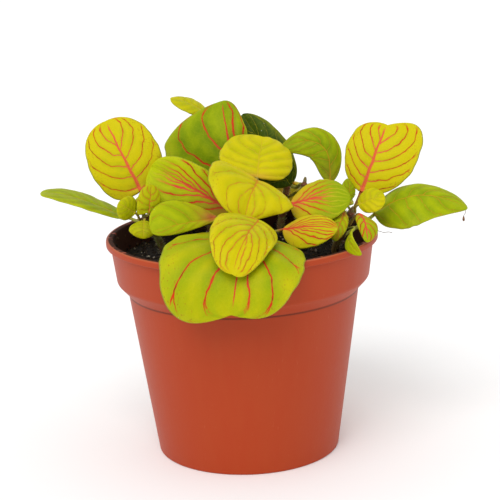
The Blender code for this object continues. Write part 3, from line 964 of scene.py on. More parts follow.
@dataclass
class Leaf:
    """A leaf: a stalk that leaves its stem and widens into a thin blade with a relief of veins."""

    plan: LeafPlan
    stem: StemPlan
    seed: int
    thickness: float = 0.5
    stalk_reach: float = 2.8
    stalk_steps: int = 9
    ruffle: float = 0.35
    ruffles: tuple[Pair, ...] = ((1.4, 0.6), (2.9, 0.35), (5.3, 0.25))
    rib_groove: float = 0.30
    rib_ridge: float = 0.50
    rib_breadth: float = 0.85
    margin: float = 0.12
    unevenness: float = 0.012
    stalk_end: float = 0.07
    flush_breadth: float = 0.75

    def __post_init__(self) -> None:
        """Lays out the midrib and the stalk."""
        plan = self.plan
        base, tip = np.array(plan.base, float), np.array(plan.tip, float)
        chord = tip - base
        way = unit(chord)
        face = square_to(np.array(plan.face, float), way)
        self.side = np.cross(way, face)
        near = base + chord / 3 + face * plan.rise[0] + self.side * plan.sway[0]
        far = base + chord * 2 / 3 + face * plan.rise[1] + self.side * plan.sway[1]
        self.midrib = (base, near, far, tip)
        self.joint, along_stem = self.stem.at(plan.height)
        held = 0.35 if plan.height > 0.99 else 1.0
        out = base - self.joint
        out = unit(out - along_stem * float(out @ along_stem) * held)
        self.stalk_foot = self.joint + out * self.stalk_reach
        reach = float(np.linalg.norm(base - self.stalk_foot))
        self.stalk_bend = base - unit(near - base) * reach * 0.5
        self.stalk_radius = min(0.42 + 0.025 * max(plan.half), 0.8)

    def rows(self) -> np.ndarray:
        """The shares of the blade's length where it has a row of points."""
        count = int(min(max(self.plan.chord() * 1.5, 22), 64))
        return 0.5 - 0.5 * np.cos(math.pi * np.linspace(0.0, 1.0, count + 1))

    def columns(self) -> np.ndarray:
        """The shares of the blade's width where it has a column of points, closer at midrib and margin.

        Returns:
            The shares, from -1 at one margin over 0 at the midrib to 1.
        """
        count = int(min(max(max(self.plan.half) * 0.75, 8), 20))
        share = np.linspace(0.0, 1.0, count + 1)
        share = share - 0.075 * np.sin(2.0 * math.pi * share)
        return np.concatenate([-share[:0:-1], share])

    def fullness(self, along: np.ndarray) -> np.ndarray:
        """How wide the blade is at each share of its length, 1 at its widest.

        Args:
            along: The shares of the blade's length.

        Returns:
            The share of the full width at each.
        """
        base_power, tip_power = self.plan.blunt
        widest = base_power / (base_power + tip_power)
        peak = widest**base_power * (1 - widest) ** tip_power
        return np.maximum(along, 1e-6) ** base_power * np.maximum(1 - along, 0.0) ** tip_power / peak

    def blade(self, along: np.ndarray, across: np.ndarray) -> tuple[np.ndarray, np.ndarray]:
        """The middle of the blade's thickness.

        Args:
            along: The rows' shares of the length.
            across: The columns' shares of the width, below 0 on the first side.

        Returns:
            The points, row by row, and each point's distance from the midrib.
        """
        plan = self.plan
        s = along[:, None]
        spine, way = curve(self.midrib, s), heading(self.midrib, s)
        side = square_to(np.broadcast_to(self.side, way.shape), way)
        up = np.cross(side, way)
        first = across < 0
        out = np.abs(across)

        def of_side(pair: Pair) -> np.ndarray:
            """A pair's value for each column."""
            return np.where(first, pair[0], pair[1]).astype(float)

        full = self.fullness(along)
        margin = self.margin + (self.stalk_radius - self.margin) * (1 - along) ** 8
        waves = 2 * math.pi * (2.7 * s + 0.37 * self.seed + of_side((0.0, 0.31)))
        uneven = 1.0 + self.unevenness * (np.sin(waves) + 0.6 * np.sin(2.3 * waves)) * np.sin(math.pi * s)
        width = of_side(plan.half) * full[:, None] * uneven + margin[:, None]
        start, bend = np.radians(of_side(plan.cup)), np.radians(of_side(plan.curl))
        level = width / bend * (np.sin(start) - np.sin(start - bend * out))
        lift = width / bend * (np.cos(start - bend * out) - np.cos(start))
        shift = (of_side(plan.toe) * s**2 - of_side(plan.heel) * (1 - s) ** 2) * out**1.5 * full[:, None]
        points = spine[:, None]
        for direction, amount in ((side, np.sign(across) * level), (up, lift), (way, shift)):
            points = points + direction[:, None] * amount[:, :, None]
        return points, width * across

    def lateral_phase(self, along: np.ndarray, across: np.ndarray) -> np.ndarray:
        """Which lateral vein each point lies on: whole numbers are on a vein of the first side.

        Args:
            along: The rows' shares of the length.
            across: The columns' shares of the width.

        Returns:
            The number of the lateral, with the share of the way to the next.
        """
        plan = self.plan
        out = np.abs(across)[None]
        ahead = (1 - plan.arch) * out + plan.arch * out**3
        rise = along[:, None] - plan.lean * ahead
        whole = plan.rooted + plan.fan * ahead + LATERAL_FAN_GROWTH * rise
        inner = np.maximum(whole**2 - 4 * plan.rooted * LATERAL_FAN_GROWTH * rise, 0.0)
        share = (whole - np.sqrt(inner)) / (2 * plan.rooted * LATERAL_FAN_GROWTH)
        return share * plan.laterals - LATERAL_FIRST

    def lateral_pitch(self, blade: np.ndarray, phase: np.ndarray) -> np.ndarray:
        """The distance between neighbouring laterals round each point of the blade.

        Args:
            blade: The blade's points, row by row.
            phase: Their laterals, from lateral_phase.

        Returns:
            The distance in millimetres at each point.
        """
        by_row, by_column = np.gradient(blade, axis=0), np.gradient(blade, axis=1)
        up, over = np.gradient(phase, axis=0), np.gradient(phase, axis=1)
        rows, columns = np.sum(by_row**2, axis=2), np.sum(by_column**2, axis=2)
        both = np.sum(by_row * by_column, axis=2)
        area = np.maximum(rows * columns - both**2, 1e-9)
        steepness = (up**2 * columns - 2 * up * over * both + over**2 * rows) / area
        return np.clip(1.0 / np.sqrt(np.maximum(steepness, 1e-6)), 0.4, 14.0)

    def relief(
        self, along: np.ndarray, across: np.ndarray, phase: np.ndarray, chance: np.random.Generator
    ) -> np.ndarray:
        """How far the blade stands out at each point: swollen between veins, and ruffled at the margin.

        Args:
            along: The rows' shares of the length.
            across: The columns' shares of the width.
            phase: The laterals, from lateral_phase.
            chance: Where the random numbers come from.

        Returns:
            The height at each point, row by row.
        """
        out = np.abs(across)[None]
        full = np.minimum(self.fullness(along), 1.0)[:, None]
        step = phase + np.where(across > 0, LATERAL_STAGGER, 0.0)[None]
        swell = np.abs(np.sin(math.pi * step)) ** 0.75
        end = self.plan.laterals
        inside = eased(step, -0.9, -0.1) * (1 - eased(step, end - 0.6, end + 0.2))
        swollen = swell * inside * np.sqrt(out) * np.sqrt(np.maximum(1 - out**3, 0.0)) * full
        wave = np.zeros_like(phase)
        for cycles, weight in self.ruffles:
            turn = chance.uniform(0, 2 * math.pi, 2)
            start = np.where(across < 0, turn[0], turn[1])[None]
            wave = wave + weight * np.sin(2 * math.pi * cycles * along[:, None] + start)
        size = min(max(self.plan.half) / 20.0, 1.2)
        return self.plan.puff * swollen + self.ruffle * size * wave * out**2.5 * full**1.5

    def stalk(self, across: np.ndarray) -> np.ndarray:
        """The middle line of the stalk widened to a flat strip, from inside the stem to the blade.

        Args:
            across: The columns' shares of the width.

        Returns:
            The strip's points, row by row.
        """
        share = np.linspace(0.0, 1.0, self.stalk_steps)[:, None]
        path = curve((self.stalk_foot, self.stalk_bend, self.midrib[0]), share)
        path = np.concatenate([self.joint[None], path])
        ways = unit(np.gradient(path, axis=0))[:-1]
        path = path[:-1]
        side = square_to(np.broadcast_to(self.side, ways.shape), ways)
        return path[:, None] + side[:, None] * (across * self.stalk_radius)[None, :, None]

    def shape(self) -> Shape:
        """The leaf as one closed skin, its points holding what the finish needs.

        Returns:
            The leaf, from inside its stem to its tip.
        """
        plan = self.plan
        chance = np.random.default_rng(self.seed)
        along, across = self.rows(), self.columns()
        blade, span = self.blade(along, across)
        strip = self.stalk(across)
        rows = len(strip)
        middle = np.concatenate([strip, blade])
        phase = self.lateral_phase(along, across)
        stand = np.zeros(middle.shape[:2])
        stand[rows:] = self.relief(along, across, phase, chance)
        spare = ((rows, 0), (0, 0))
        run = np.linalg.norm(np.diff(middle[:, len(across) // 2], axis=0), axis=1).cumsum()
        run = np.concatenate([[0.0], run]) - run[rows - 1]
        sheet = {
            "span": np.concatenate([np.repeat((across * self.stalk_radius)[None], rows, axis=0), span]),
            "phase": np.pad(phase, spare, constant_values=-9.0),
            "pitch": np.pad(self.lateral_pitch(blade, phase), spare, constant_values=5.0),
        }
        rings = self.skin(middle, stand, along, across, span)
        whole_along = np.concatenate([np.linspace(-1.0, -0.06, rows), along])
        held = self.held(whole_along, across, run, sheet)
        return Shape(rings.reshape(-1, 3), ringed_faces(len(rings), rings.shape[1]), held)

    def skin(
        self, middle: np.ndarray, stand: np.ndarray, along: np.ndarray, across: np.ndarray, span: np.ndarray
    ) -> np.ndarray:
        """The rings round the stalk and the blade, each over the upper side and back beneath.

        Args:
            middle: The middle of the thickness, row by row, the stalk's rows first.
            stand: How far each point of the middle is lifted.
            along: The blade's rows.
            across: The columns.
            span: The distance of each of the blade's points from the midrib.

        Returns:
            The rings' points.
        """
        normal = unit(np.cross(np.gradient(middle, axis=1), np.gradient(middle, axis=0)))
        out = np.abs(across)[None]
        round_part = np.sqrt(np.maximum(1 - out**2, 0.0)) * self.stalk_radius
        flat_part = self.thickness / 2 * np.sqrt(np.maximum(1 - out**10, 0.0))
        rib = np.exp(-((span / self.rib_breadth) ** 2)) * (1 - along[:, None]) ** 0.7 * (out < 1)
        blend = eased(along, 0.0, self.stalk_end)[:, None]
        stalk = np.repeat(round_part, len(middle) - len(along), axis=0)

        def sheet(hand: float, ribbed: float) -> np.ndarray:
            """One side's points, above or beneath the middle."""
            height = np.concatenate([stalk, (1 - blend) * round_part + blend * (flat_part + ribbed * rib)])
            return middle + normal * (stand + hand * height)[:, :, None]

        low = sheet(-1.0, self.rib_ridge)
        return np.concatenate([sheet(1.0, -self.rib_groove), low[:, len(across) - 2 : 0 : -1]], axis=1)

    def held(
        self, along: np.ndarray, across: np.ndarray, run: np.ndarray, sheet: Mapping[str, np.ndarray]
    ) -> dict[str, np.ndarray]:
        """What each point holds for the finish.

        Args:
            along: The share of the blade's length at each ring, below 0 on the stalk.
            across: The columns.
            run: The distance of each ring from the blade's base.
            sheet: The span, the laterals' phase and their pitch, for each point of one side.

        Returns:
            Three numbers for each point, under each of the names that LeafFinish reads.
        """
        plan, look, last = self.plan, self.plan.veins.value, len(across) - 2
        beneath = np.ones(last)

        def ringed(values: np.ndarray) -> np.ndarray:
            """Values of one side's points in the order of the rings' points."""
            return np.concatenate([values, values[:, last:0:-1]], axis=1)

        under = np.concatenate([[0.5], np.zeros(last), [0.5], beneath])[None]
        ways = ringed(across[None])
        rows = along[:, None]
        clear = np.clip(rows, 0.0, 1.0)
        green = plan.green[0] + (plan.green[1] - plan.green[0]) * clear
        near_base = (clear / max(plan.flush[1], 0.01)) ** 2
        flush = plan.flush[0] * np.exp(-near_base - (np.abs(ways) / self.flush_breadth) ** 2)
        red = look.red * (1.0 - eased(rows, plan.redness - 0.35, plan.redness))
        broad, rib = look.broad * self.vein_scale(), look.rib * self.vein_scale()
        span, phase, pitch = (ringed(sheet[name]) for name in ("span", "phase", "pitch"))
        threes = {
            "leaf_place": (rows, ways, under),
            "leaf_metric": (run[:, None] + self.seed * LEAF_SPACING, span, phase),
            "leaf_laterals": (plan.laterals - 1.0, pitch, look.broken),
            "leaf_veins": (red, broad, rib),
            "leaf_tone": (green, flush, look.rosy),
        }
        return {
            name: np.stack([np.broadcast_to(value, span.shape) for value in values], axis=-1).reshape(-1, 3)
            for name, values in threes.items()
        }

    def vein_scale(self) -> float:
        """How broad this leaf's veins are beside those of a large leaf."""
        return min(max(0.45 + 0.03 * max(self.plan.half), 0.55), 1.0)

    def build(self, material: bpy.types.Material) -> None:
        """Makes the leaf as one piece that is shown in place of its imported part."""
        self.shape().piece(f"{self.plan.name}_grown", material, self.plan.slot, [self.plan.name])


STEMS = (
    StemPlan("stem_crown", (4, -4), ((6.5, -6, 107), (7.5, -8, 119))),
    StemPlan("stem_front", (9, -22), ((8.5, -26, 99), (7.5, -30, 107))),
    StemPlan("stem_left", (-34, -4), ((-38, -9, 102), (-41.5, -15, 110))),
    StemPlan("stem_right", (41, -3), ((45, -8, 101), (47.5, -12.5, 108))),
    StemPlan("stem_back", (-1, 14), ((1, 13, 106), (2.5, 12, 119))),
    StemPlan("stem_back_right", (25, 16), ((27, 17, 105), (29, 18, 115))),
    StemPlan("stem_rear_left", (-14, 30), ((-15, 34, 102), (-17, 38, 120), (-15, 41, 136))),
    StemPlan("stem_rear_right", (18, 37), ((20, 39, 101), (22, 41, 110))),
)

LEAVES = (
    # The crown shoot, in the middle of the pot.
    LeafPlan("leaf_crown_back", "stem_crown", 1.0, (7.5, -7, 124), (11, 13, 138), (-0.1, -0.6, 1), (18, 16),
             Veins.PALE, (0.15, 0.3), cup=(10, 5), curl=(20, 60), blunt=(0.35, 0.4), toe=(7, 2), laterals=5,
             flush=(0.35, 0.08), puff=1.6),
    LeafPlan("leaf_crown_front", "stem_crown", 0.97, (7.5, -12, 123), (1.5, -30, 110.5), (0, -0.5, 1),
             (19, 21), Veins.NEW, (0.3, 0.05), rise=(3, 6), cup=(5, 33), curl=(45, 20), blunt=(0.35, 0.6),
             heel=(0, 7), laterals=3, rooted=0.4, lean=0.6, fan=1.2, arch=0.3, flush=(0.25, 0.08),
             puff=1.6),
    LeafPlan("leaf_crown_left", "stem_crown", 0.66, (-5, -9, 110.5), (-38, -5, 130), (-0.3, -0.7, 0.6),
             (17, 10), Veins.RICH, (0.35, 0.15), slot=Slot.LEAF_GREEN, rise=(3, 2), cup=(10, 25),
             curl=(20, 15), blunt=(0.5, 0.4), laterals=5, rooted=0.55, lean=0.5, fan=0.9, arch=0.2,
             redness=1.0, flush=(0.6, 0.25), puff=0.72),
    LeafPlan("leaf_crown_right", "stem_crown", 0.7, (22, -12, 112.5), (47, -18, 115.5), (0.2, -0.7, 0.8),
             (12.5, 13), Veins.RICH, (0.15, 1.4), rise=(3, 5), cup=(5, 5), curl=(35, 30), rooted=0.4,
             lean=0.7, fan=1.1, arch=0.3, redness=0.85, flush=(0.5, 0.3), puff=0.63),
    LeafPlan("leaf_crown_low_left", "stem_crown", 0.4, (-10.5, -18, 109), (-38, -30, 107),
             (-0.1, -0.8, 0.6), (4, 13), Veins.FAINT, (0.1, 0.55), slot=Slot.LEAF_GREEN, rise=(2, 2),
             cup=(5, 5), curl=(30, 20), blunt=(0.8, 0.45), flush=(1.0, 0.22), puff=0.45),
    LeafPlan("leaf_crown_low_right", "stem_crown", 0.3, (18, -27, 105), (40, -38, 107), (0.1, -0.7, 0.8),
             (9, 10), Veins.BOLD, (0.15, 0.6), rise=(2, 3), curl=(30, 40), blunt=(0.5, 0.6), rooted=0.35,
             lean=0.75, fan=1.1, arch=0.2, flush=(0.4, 0.3), puff=0.54),
    # The front shoot, whose large leaf hangs over the lip.
    LeafPlan("leaf_front_small", "stem_front", 1.0, (7, -38, 111.5), (-4.5, -70.3, 98), (0, -0.8, 0.8),
             (12, 16), Veins.FINE, (0.45, 0.0), rise=(6, 10), cup=(5, 12), curl=(35, 25), blunt=(0.3, 0.5),
             toe=(6, 3), heel=(0, 9), laterals=5, rooted=0.6, lean=0.35, fan=0.6, arch=0.4, puff=1.7),
    LeafPlan("leaf_front_large", "stem_front", 0.5, (4.5, -33, 103.5), (-5, -69.4, 80.7), (0, -0.6, 1),
             (26, 34), Veins.BOLD, (1.0, 0.75), rise=(10, 20), cup=(8, 4), curl=(25, 20), blunt=(0.3, 0.3),
             toe=(3, 16), heel=(3, 19), rooted=0.6, lean=0.15, fan=0.6, arch=0.25, puff=1.26),
    # The left shoot.
    LeafPlan("leaf_left_round", "stem_left", 0.5, (-43.5, -2, 119), (-58, 8, 148.5), (0.05, -1, 0.2),
             (16, 16), Veins.CLEAR, (0.15, 0.05), rise=(2, 3), cup=(8, 8), curl=(25, 25), blunt=(0.35, 0.4),
             toe=(2, 0), heel=(3, 1), laterals=5, rooted=0.75, lean=0.32, fan=0.5, arch=0.75,
             flush=(0.2, 0.1), puff=0.72),
    LeafPlan("leaf_left_low", "stem_left", 0.66, (-50.5, -6, 108.5), (-86.8, -4, 120), (0, -0.02, 1),
             (11, 11), Veins.FAINT, (0.65, 0.55), slot=Slot.LEAF_GREEN, rise=(1, 4), cup=(5, 5),
             curl=(15, 10), blunt=(0.4, 0.35), laterals=5, puff=0.45),
    LeafPlan("young_leaf_left_a", "stem_left", 0.98, (-45.5, -18.5, 113), (-52, -22, 118), (-0.1, -1, 0.4),
             (5.5, 5.5), Veins.PALE, (0.7, 0.6), curl=(20, 20), blunt=(0.4, 0.45), puff=0.36),
    LeafPlan("young_leaf_left_b", "stem_left", 1.0, (-39.5, -19, 113), (-38, -17, 124.5), (0.3, -1, 0.2),
             (5.5, 5), Veins.FINE, (0.8, 0.6), rise=(1, 1), curl=(20, 20), blunt=(0.3, 0.45), heel=(4, 5),
             puff=0.36),
    LeafPlan("young_leaf_left_c", "stem_left", 0.88, (-41.5, -21.3, 109.5), (-42, -24.8, 103), (0, -1, 0.6),
             (6, 6.5), Veins.PALE, (0.8, 0.6), curl=(25, 25), blunt=(0.4, 0.45), puff=0.36),
    # The right shoot.
    LeafPlan("leaf_right_tall", "stem_right", 0.38, (53.5, 3, 114), (66, 13, 141.5), (-0.1, -1, 0.3),
             (13.5, 18.5), Veins.CLEAR, (0.1, 0.05), rise=(2, 3), cup=(5, 8), curl=(25, 15),
             blunt=(0.5, 0.35), toe=(0, 12), laterals=6, rooted=0.85, lean=0.28, puff=0.63),
    LeafPlan("leaf_right_low", "stem_right", 0.28, (59.5, 0, 104.5), (98.85, -6, 106.5), (0.1, -0.5, 0.8),
             (10, 16), Veins.FAINT, (0.7, 0.6), slot=Slot.LEAF_GREEN, rise=(13, 12), curl=(25, 30),
             blunt=(0.45, 0.55), toe=(5, -12), heel=(12, 0), laterals=5, puff=0.54),
    LeafPlan("young_leaf_right_a", "stem_right", 0.95, (51, -14, 112), (62, -15, 115), (0.2, -0.8, 0.8),
             (6.5, 6), Veins.PALE, (0.25, 0.35), curl=(25, 25), blunt=(0.4, 0.4), puff=0.72),
    LeafPlan("young_leaf_right_b", "stem_right", 1.0, (46.5, -7, 112), (47, -3, 121), (0.6, -0.8, 0),
             (4, 5), Veins.FAINT, (0.7, 0.8), slot=Slot.LEAF_GREEN, blunt=(0.5, 0.6), puff=0.36),
    LeafPlan("young_leaf_right_c", "stem_right", 0.66, (51, -19, 108.5), (52.5, -34, 100), (0.3, -1, 0.5),
             (6.5, 3.5), Veins.RICH, (0.75, 0.9), rise=(3, 4), blunt=(0.5, 0.6), flush=(0.8, 0.15),
             puff=0.45),
    LeafPlan("young_leaf_right_d", "stem_right", 0.88, (44, -20, 109.5), (39.5, -28, 99.5), (-0.2, -1, 0.4),
             (3.5, 6.5), Veins.FINE, (0.75, 0.9), rise=(2, 3), blunt=(0.5, 0.6), flush=(0.6, 0.12),
             puff=0.45),
    LeafPlan("young_leaf_right_e", "stem_right", 0.5, (46.5, -32, 104.5), (49, -49, 98.5),
             (-0.9, -0.5, 0.3), (3, 4), Veins.FAINT, (0.45, 0.5), slot=Slot.LEAF_GREEN, rise=(4, 6),
             curl=(10, 10), blunt=(0.5, 0.6), puff=0.27),
    # The two shoots behind the crown.
    LeafPlan("leaf_back_left", "stem_back", 0.97, (0, 17, 118), (-6.5, 31, 152), (-0.4, -0.9, 0.4), (33, 9),
             Veins.BOLD, (1.0, 0.8), slot=Slot.LEAF_GREEN, rise=(3, 5), cup=(5, 5), curl=(20, 60),
             blunt=(0.4, 0.36), laterals=2, rooted=0.4, lean=0.9, fan=1.5, puff=0.8),
    LeafPlan("leaf_back_right", "stem_back_right", 0.97, (23, 26, 113.5), (2.5, 38, 144.5),
             (-0.3, -0.9, 0.3), (12, 10), Veins.DULL, (0.8, 0.8), slot=Slot.LEAF_OLIVE, rise=(3, 3),
             cup=(10, 10), curl=(20, 30), blunt=(0.5, 0.6), laterals=5, puff=0.72),
    LeafPlan("leaf_back_folded", "stem_back_right", 0.82, (40, 12, 117), (19, 16, 132), (0, -1, 0.3),
             (8, 7), Veins.FAINT, (0.9, 0.6), slot=Slot.LEAF_GREEN, rise=(2, 3), sway=(16, 14),
             curl=(20, 20), blunt=(0.5, 0.6), laterals=5, flush=(0.15, 0.2), puff=0.54),
    LeafPlan("leaf_mid_left", "stem_back", 0.3, (-12, 15, 103), (-34, 26, 108), (-0.2, 0.1, 1), (12, 12),
             Veins.BOLD, (0.8, 0.6), slot=Slot.LEAF_GREEN, rise=(4, 5), laterals=5),
    LeafPlan("leaf_mid_right", "stem_back_right", 0.35, (33, 21, 104), (50, 37, 104), (0.2, 0, 1), (11, 11),
             Veins.BOLD, (0.7, 0.5), slot=Slot.LEAF_GREEN, rise=(4, 5), laterals=5),
    LeafPlan("leaf_rear_inner", "stem_back", 0.5, (-3, 21, 110), (-5, 52, 126), (0, 1, 0.5), (8, 8),
             Veins.CLEAR, (0.3, 0.2), rise=(2, 4), laterals=5),
    # The two shoots at the rear.
    LeafPlan("leaf_rear_top", "stem_rear_left", 1.0, (-14.5, 42, 145), (-30.5, 46, 152), (0, -0.25, 1),
             (7, 7), Veins.PALE, (0.5, 0.45), rise=(2, 2), curl=(20, 20), blunt=(0.5, 0.6), puff=0.45),
    LeafPlan("leaf_rear_top_small", "stem_rear_left", 0.96, (-17, 46, 136), (-24, 62, 132), (0.1, 0.3, 1),
             (7, 7), Veins.FINE, (0.2, 0.3), rise=(2, 3)),
    LeafPlan("leaf_rear_centre", "stem_rear_left", 0.72, (-16, 48, 118), (-8, 82, 96), (0, 0.5, 1),
             (17, 18), Veins.CLEAR, (0.35, 0.1), rise=(5, 12), curl=(35, 35), laterals=6, puff=0.9),
    LeafPlan("leaf_rear_left", "stem_rear_left", 0.4, (-26, 42, 108), (-50, 60, 99), (-0.3, 0.3, 1),
             (13, 14), Veins.RICH, (0.5, 0.3), slot=Slot.LEAF_GREEN, rise=(3, 8), curl=(35, 35), laterals=5,
             flush=(0.5, 0.25), puff=0.72),
    LeafPlan("leaf_rear_right", "stem_rear_right", 0.5, (30, 45, 103), (54, 58, 101), (0.3, 0.3, 1),
             (11, 12), Veins.BOLD, (0.6, 0.4), slot=Slot.LEAF_GREEN, rise=(4, 7), curl=(35, 35), laterals=5,
             puff=0.72),
    LeafPlan("leaf_rear_low", "stem_rear_right", 0.9, (22, 48, 110), (20, 80, 90), (0, 0.6, 1), (14, 15),
             Veins.RICH, (0.3, 0.15), rise=(5, 12), curl=(40, 40), laterals=5, flush=(0.3, 0.15), puff=0.9),
    LeafPlan("leaf_rear_inner_left", "stem_rear_left", 0.55, (-22, 40, 112), (-40, 42, 114), (-0.2, 0.2, 1),
             (10, 11), Veins.CLEAR, (0.3, 0.3), rise=(2, 4), laterals=5),
    LeafPlan("leaf_rear_inner_right", "stem_rear_right", 0.7, (26, 35, 108), (40, 31, 112), (0.2, 0.2, 1),
             (9, 9), Veins.FINE, (0.3, 0.3), rise=(2, 3)),
    LeafPlan("leaf_rear_between", "stem_rear_right", 0.35, (10, 42, 101), (-5, 59, 100), (0, 0.2, 1),
             (8, 8), Veins.BOLD, (0.7, 0.6), slot=Slot.LEAF_GREEN, rise=(3, 5)),
    LeafPlan("young_leaf_rear", "stem_rear_right", 1.0, (20, 36, 114), (8, 36, 124), (-0.3, 0.3, 1), (6, 6),
             Veins.NEW, (0.1, 0.2)),
)


@dataclass
class DriedDrop:
    """The dried end of an old flower, hanging by a thread from a leaf's tip."""

    top: Triple = (98.2, -6.2, 106.0)
    drop: float = 2.6
    swing: float = 0.9
    sag: float = 0.4
    thread_radius: float = 0.10
    bead: Triple = (0.62, 0.62, 1.25)

    def build(self, finish: GrainFinish) -> None:
        """Makes the thread and the bead.

        Args:
            finish: The finish of thread and bead.
        """
        top = np.array(self.top)
        end = top + np.array((-self.swing, 0.0, -self.drop))
        middle = (top + end) / 2 + np.array((self.sag, 0.0, 0.0))
        thread = tube(np.array([top, middle, end]), np.full(3, self.thread_radius), 8)
        points, faces = ball(3)
        pointed = points * np.array(self.bead)
        pointed[:, :2] *= (1.0 - 0.4 * points[:, 2:]) * 0.8
        bead = Shape(pointed + end - np.array((0.0, 0.0, self.bead[2])), faces.tolist())
        Shape.joined([thread, bead]).piece("dried_flower_end", finish.material(), finish.slot)


# ---------------------------------------------------------------- pot


@dataclass(frozen=True)
class Corner:
    """A corner of a turned outline, rounded over a length on each side."""

    radius: float
    height: float
    rounding: float = 0.0


@dataclass
class Pot:
    """A 12 cm nursery pot: a deep collar under a rolled lip, a foot ring and drain holes."""

    height: float = 98.0
    lip_radius: float = 60.0
    lip_depth: float = 3.0
    collar_top_radius: float = 58.0
    collar_foot_radius: float = 55.9
    collar_depth: float = 19.0
    body_top_radius: float = 51.2
    body_top_depth: float = 24.0
    foot_radius: float = 40.6
    wall: float = 1.3
    foot_ring_width: float = 4.0
    centre_pad_radius: float = 20.0
    channel_lift: float = 3.0
    drain_holes: int = 8
    drain_hole_radius: float = 3.6
    cutter_depth: float = 8.0
    steps: int = 224
    arc_steps: int = 6

    def side(self, inset: float) -> list[Corner]:
        """The pot's side from under the lip down to the foot, moved in by inset.

        Args:
            inset: How far inside the outer face the line runs.

        Returns:
            The corners, from the lip down.
        """
        collar_foot = self.height - self.collar_depth
        body_top = self.height - self.body_top_depth
        return [
            Corner(self.collar_top_radius - inset, self.height - self.lip_depth, 0.5),
            Corner(self.collar_foot_radius - inset, collar_foot, 0.9),
            Corner(self.body_top_radius - inset + 0.2, body_top + 0.1, 0.5),
            Corner(self.body_top_radius - inset - 0.1, body_top - 0.9, 0.6),
        ]

    def flare(self) -> float:
        """How much wider the collar is for each millimetre that it rises."""
        return (self.collar_top_radius - self.collar_foot_radius) / (self.collar_depth - self.lip_depth)

    def outline(self) -> list[Corner]:
        """The wall's section, from the middle of the floor inside, over the lip, to the middle beneath.

        Returns:
            The corners, in order along the wall.
        """
        ring_inner = self.foot_radius - self.foot_ring_width
        lift = self.channel_lift + self.wall
        floor = [
            Corner(0.0, self.wall),
            Corner(self.centre_pad_radius - 0.6, self.wall, 0.4),
            Corner(self.centre_pad_radius + 0.6, lift, 0.4),
            Corner(ring_inner - 0.6, lift, 0.4),
            Corner(ring_inner + 0.6, self.wall, 0.4),
            Corner(self.foot_radius - self.wall, self.wall, 0.8),
        ]
        lip = [
            Corner(self.collar_top_radius - 1.2, self.height, 0.7),
            Corner(self.lip_radius, self.height, 0.9),
            Corner(self.lip_radius, self.height - self.lip_depth + 0.3, 0.6),
        ]
        beneath = [
            Corner(self.foot_radius, 0.0, 0.8),
            Corner(ring_inner, 0.0, 0.5),
            Corner(ring_inner - 1.2, self.channel_lift, 0.4),
            Corner(self.centre_pad_radius + 1.2, self.channel_lift, 0.4),
            Corner(self.centre_pad_radius, 0.0, 0.4),
            Corner(0.0, 0.0),
        ]
        inside = list(reversed(self.side(self.wall)))[:-1]
        return floor + inside + lip + self.side(0.0) + beneath

    def rounded(self) -> list[Pair]:
        """The outline's points, each rounded corner as a short curve.

        Returns:
            The radius and the height of each point.
        """
        corners = self.outline()
        points: list[Pair] = []
        for number, corner in enumerate(corners):
            here = Vector((corner.radius, corner.height))
            if corner.rounding == 0.0:
                points.append((here.x, here.y))
                continue
            before = Vector((corners[number - 1].radius, corners[number - 1].height))
            after = Vector((corners[number + 1].radius, corners[number + 1].height))
            start = here + (before - here).normalized() * corner.rounding
            end = here + (after - here).normalized() * corner.rounding
            for step in range(self.arc_steps + 1):
                point = curve((start, here, end), step / self.arc_steps)
                points.append((point.x, point.y))
        return points

    def drain_cutter(self, number: int) -> bpy.types.Object:
        """An upright round cutter for one drain hole, in the raised channel.

        Args:
            number: Which of the holes it is for.

        Returns:
            The cutter.
        """
        middle = (self.foot_radius - self.foot_ring_width + self.centre_pad_radius) / 2
        angle = 2 * math.pi * (number + 0.5) / self.drain_holes
        shape = bmesh.new()
        radius, depth = self.drain_hole_radius * MM, self.cutter_depth * MM
        both = {"radius1": radius, "radius2": radius}
        bmesh.ops.create_cone(shape, cap_ends=True, segments=40, depth=depth, **both)
        cutter = placed("drain_cutter", meshed("drain_cutter", shape))
        place = Vector((middle * math.cos(angle), middle * math.sin(angle), self.channel_lift))
        cutter.location = place * MM
        return cutter

    def build(self, soil_height: float) -> None:
        """Turns the pot, drills it and dresses it.

        Args:
            soil_height: How high the compost stands at the wall.
        """
        shape = bmesh.new()
        verts = [shape.verts.new((radius * MM, 0.0, height * MM)) for radius, height in self.rounded()]
        for start, end in zip(verts, verts[1:]):
            shape.edges.new((start, end))
        blank = placed("pot_section", meshed("pot_section", shape))
        screw = blank.modifiers.new("turn", "SCREW")
        screw.steps = screw.render_steps = self.steps
        screw.use_merge_vertices = True
        screw.merge_threshold = 0.01 * MM
        cutters = [self.drain_cutter(number) for number in range(self.drain_holes)]
        for cutter in cutters:
            drill = blank.modifiers.new("drill", "BOOLEAN")
            drill.operation = "DIFFERENCE"
            drill.solver = "EXACT"
            drill.object = cutter
        bpy.context.view_layer.update()
        done = bpy.data.meshes.new_from_object(blank.evaluated_get(bpy.context.evaluated_depsgraph_get()))
        for spent in [blank, *cutters]:
            bpy.data.objects.remove(spent, do_unlink=True)
        done.name = "pot_turned"
        done.materials.clear()
        plastic = PlasticFinish(
            lip_height=self.height,
            soil_height=soil_height,
            collar_foot=(self.collar_foot_radius, self.height - self.collar_depth),
            collar_flare=self.flare(),
            joint_height=self.height - self.body_top_depth - 0.5,
            joint_radius=self.body_top_radius,
        )
        dressed("pot_turned", done, plastic.material(), ["pot"])


# ---------------------------------------------------------------- compost


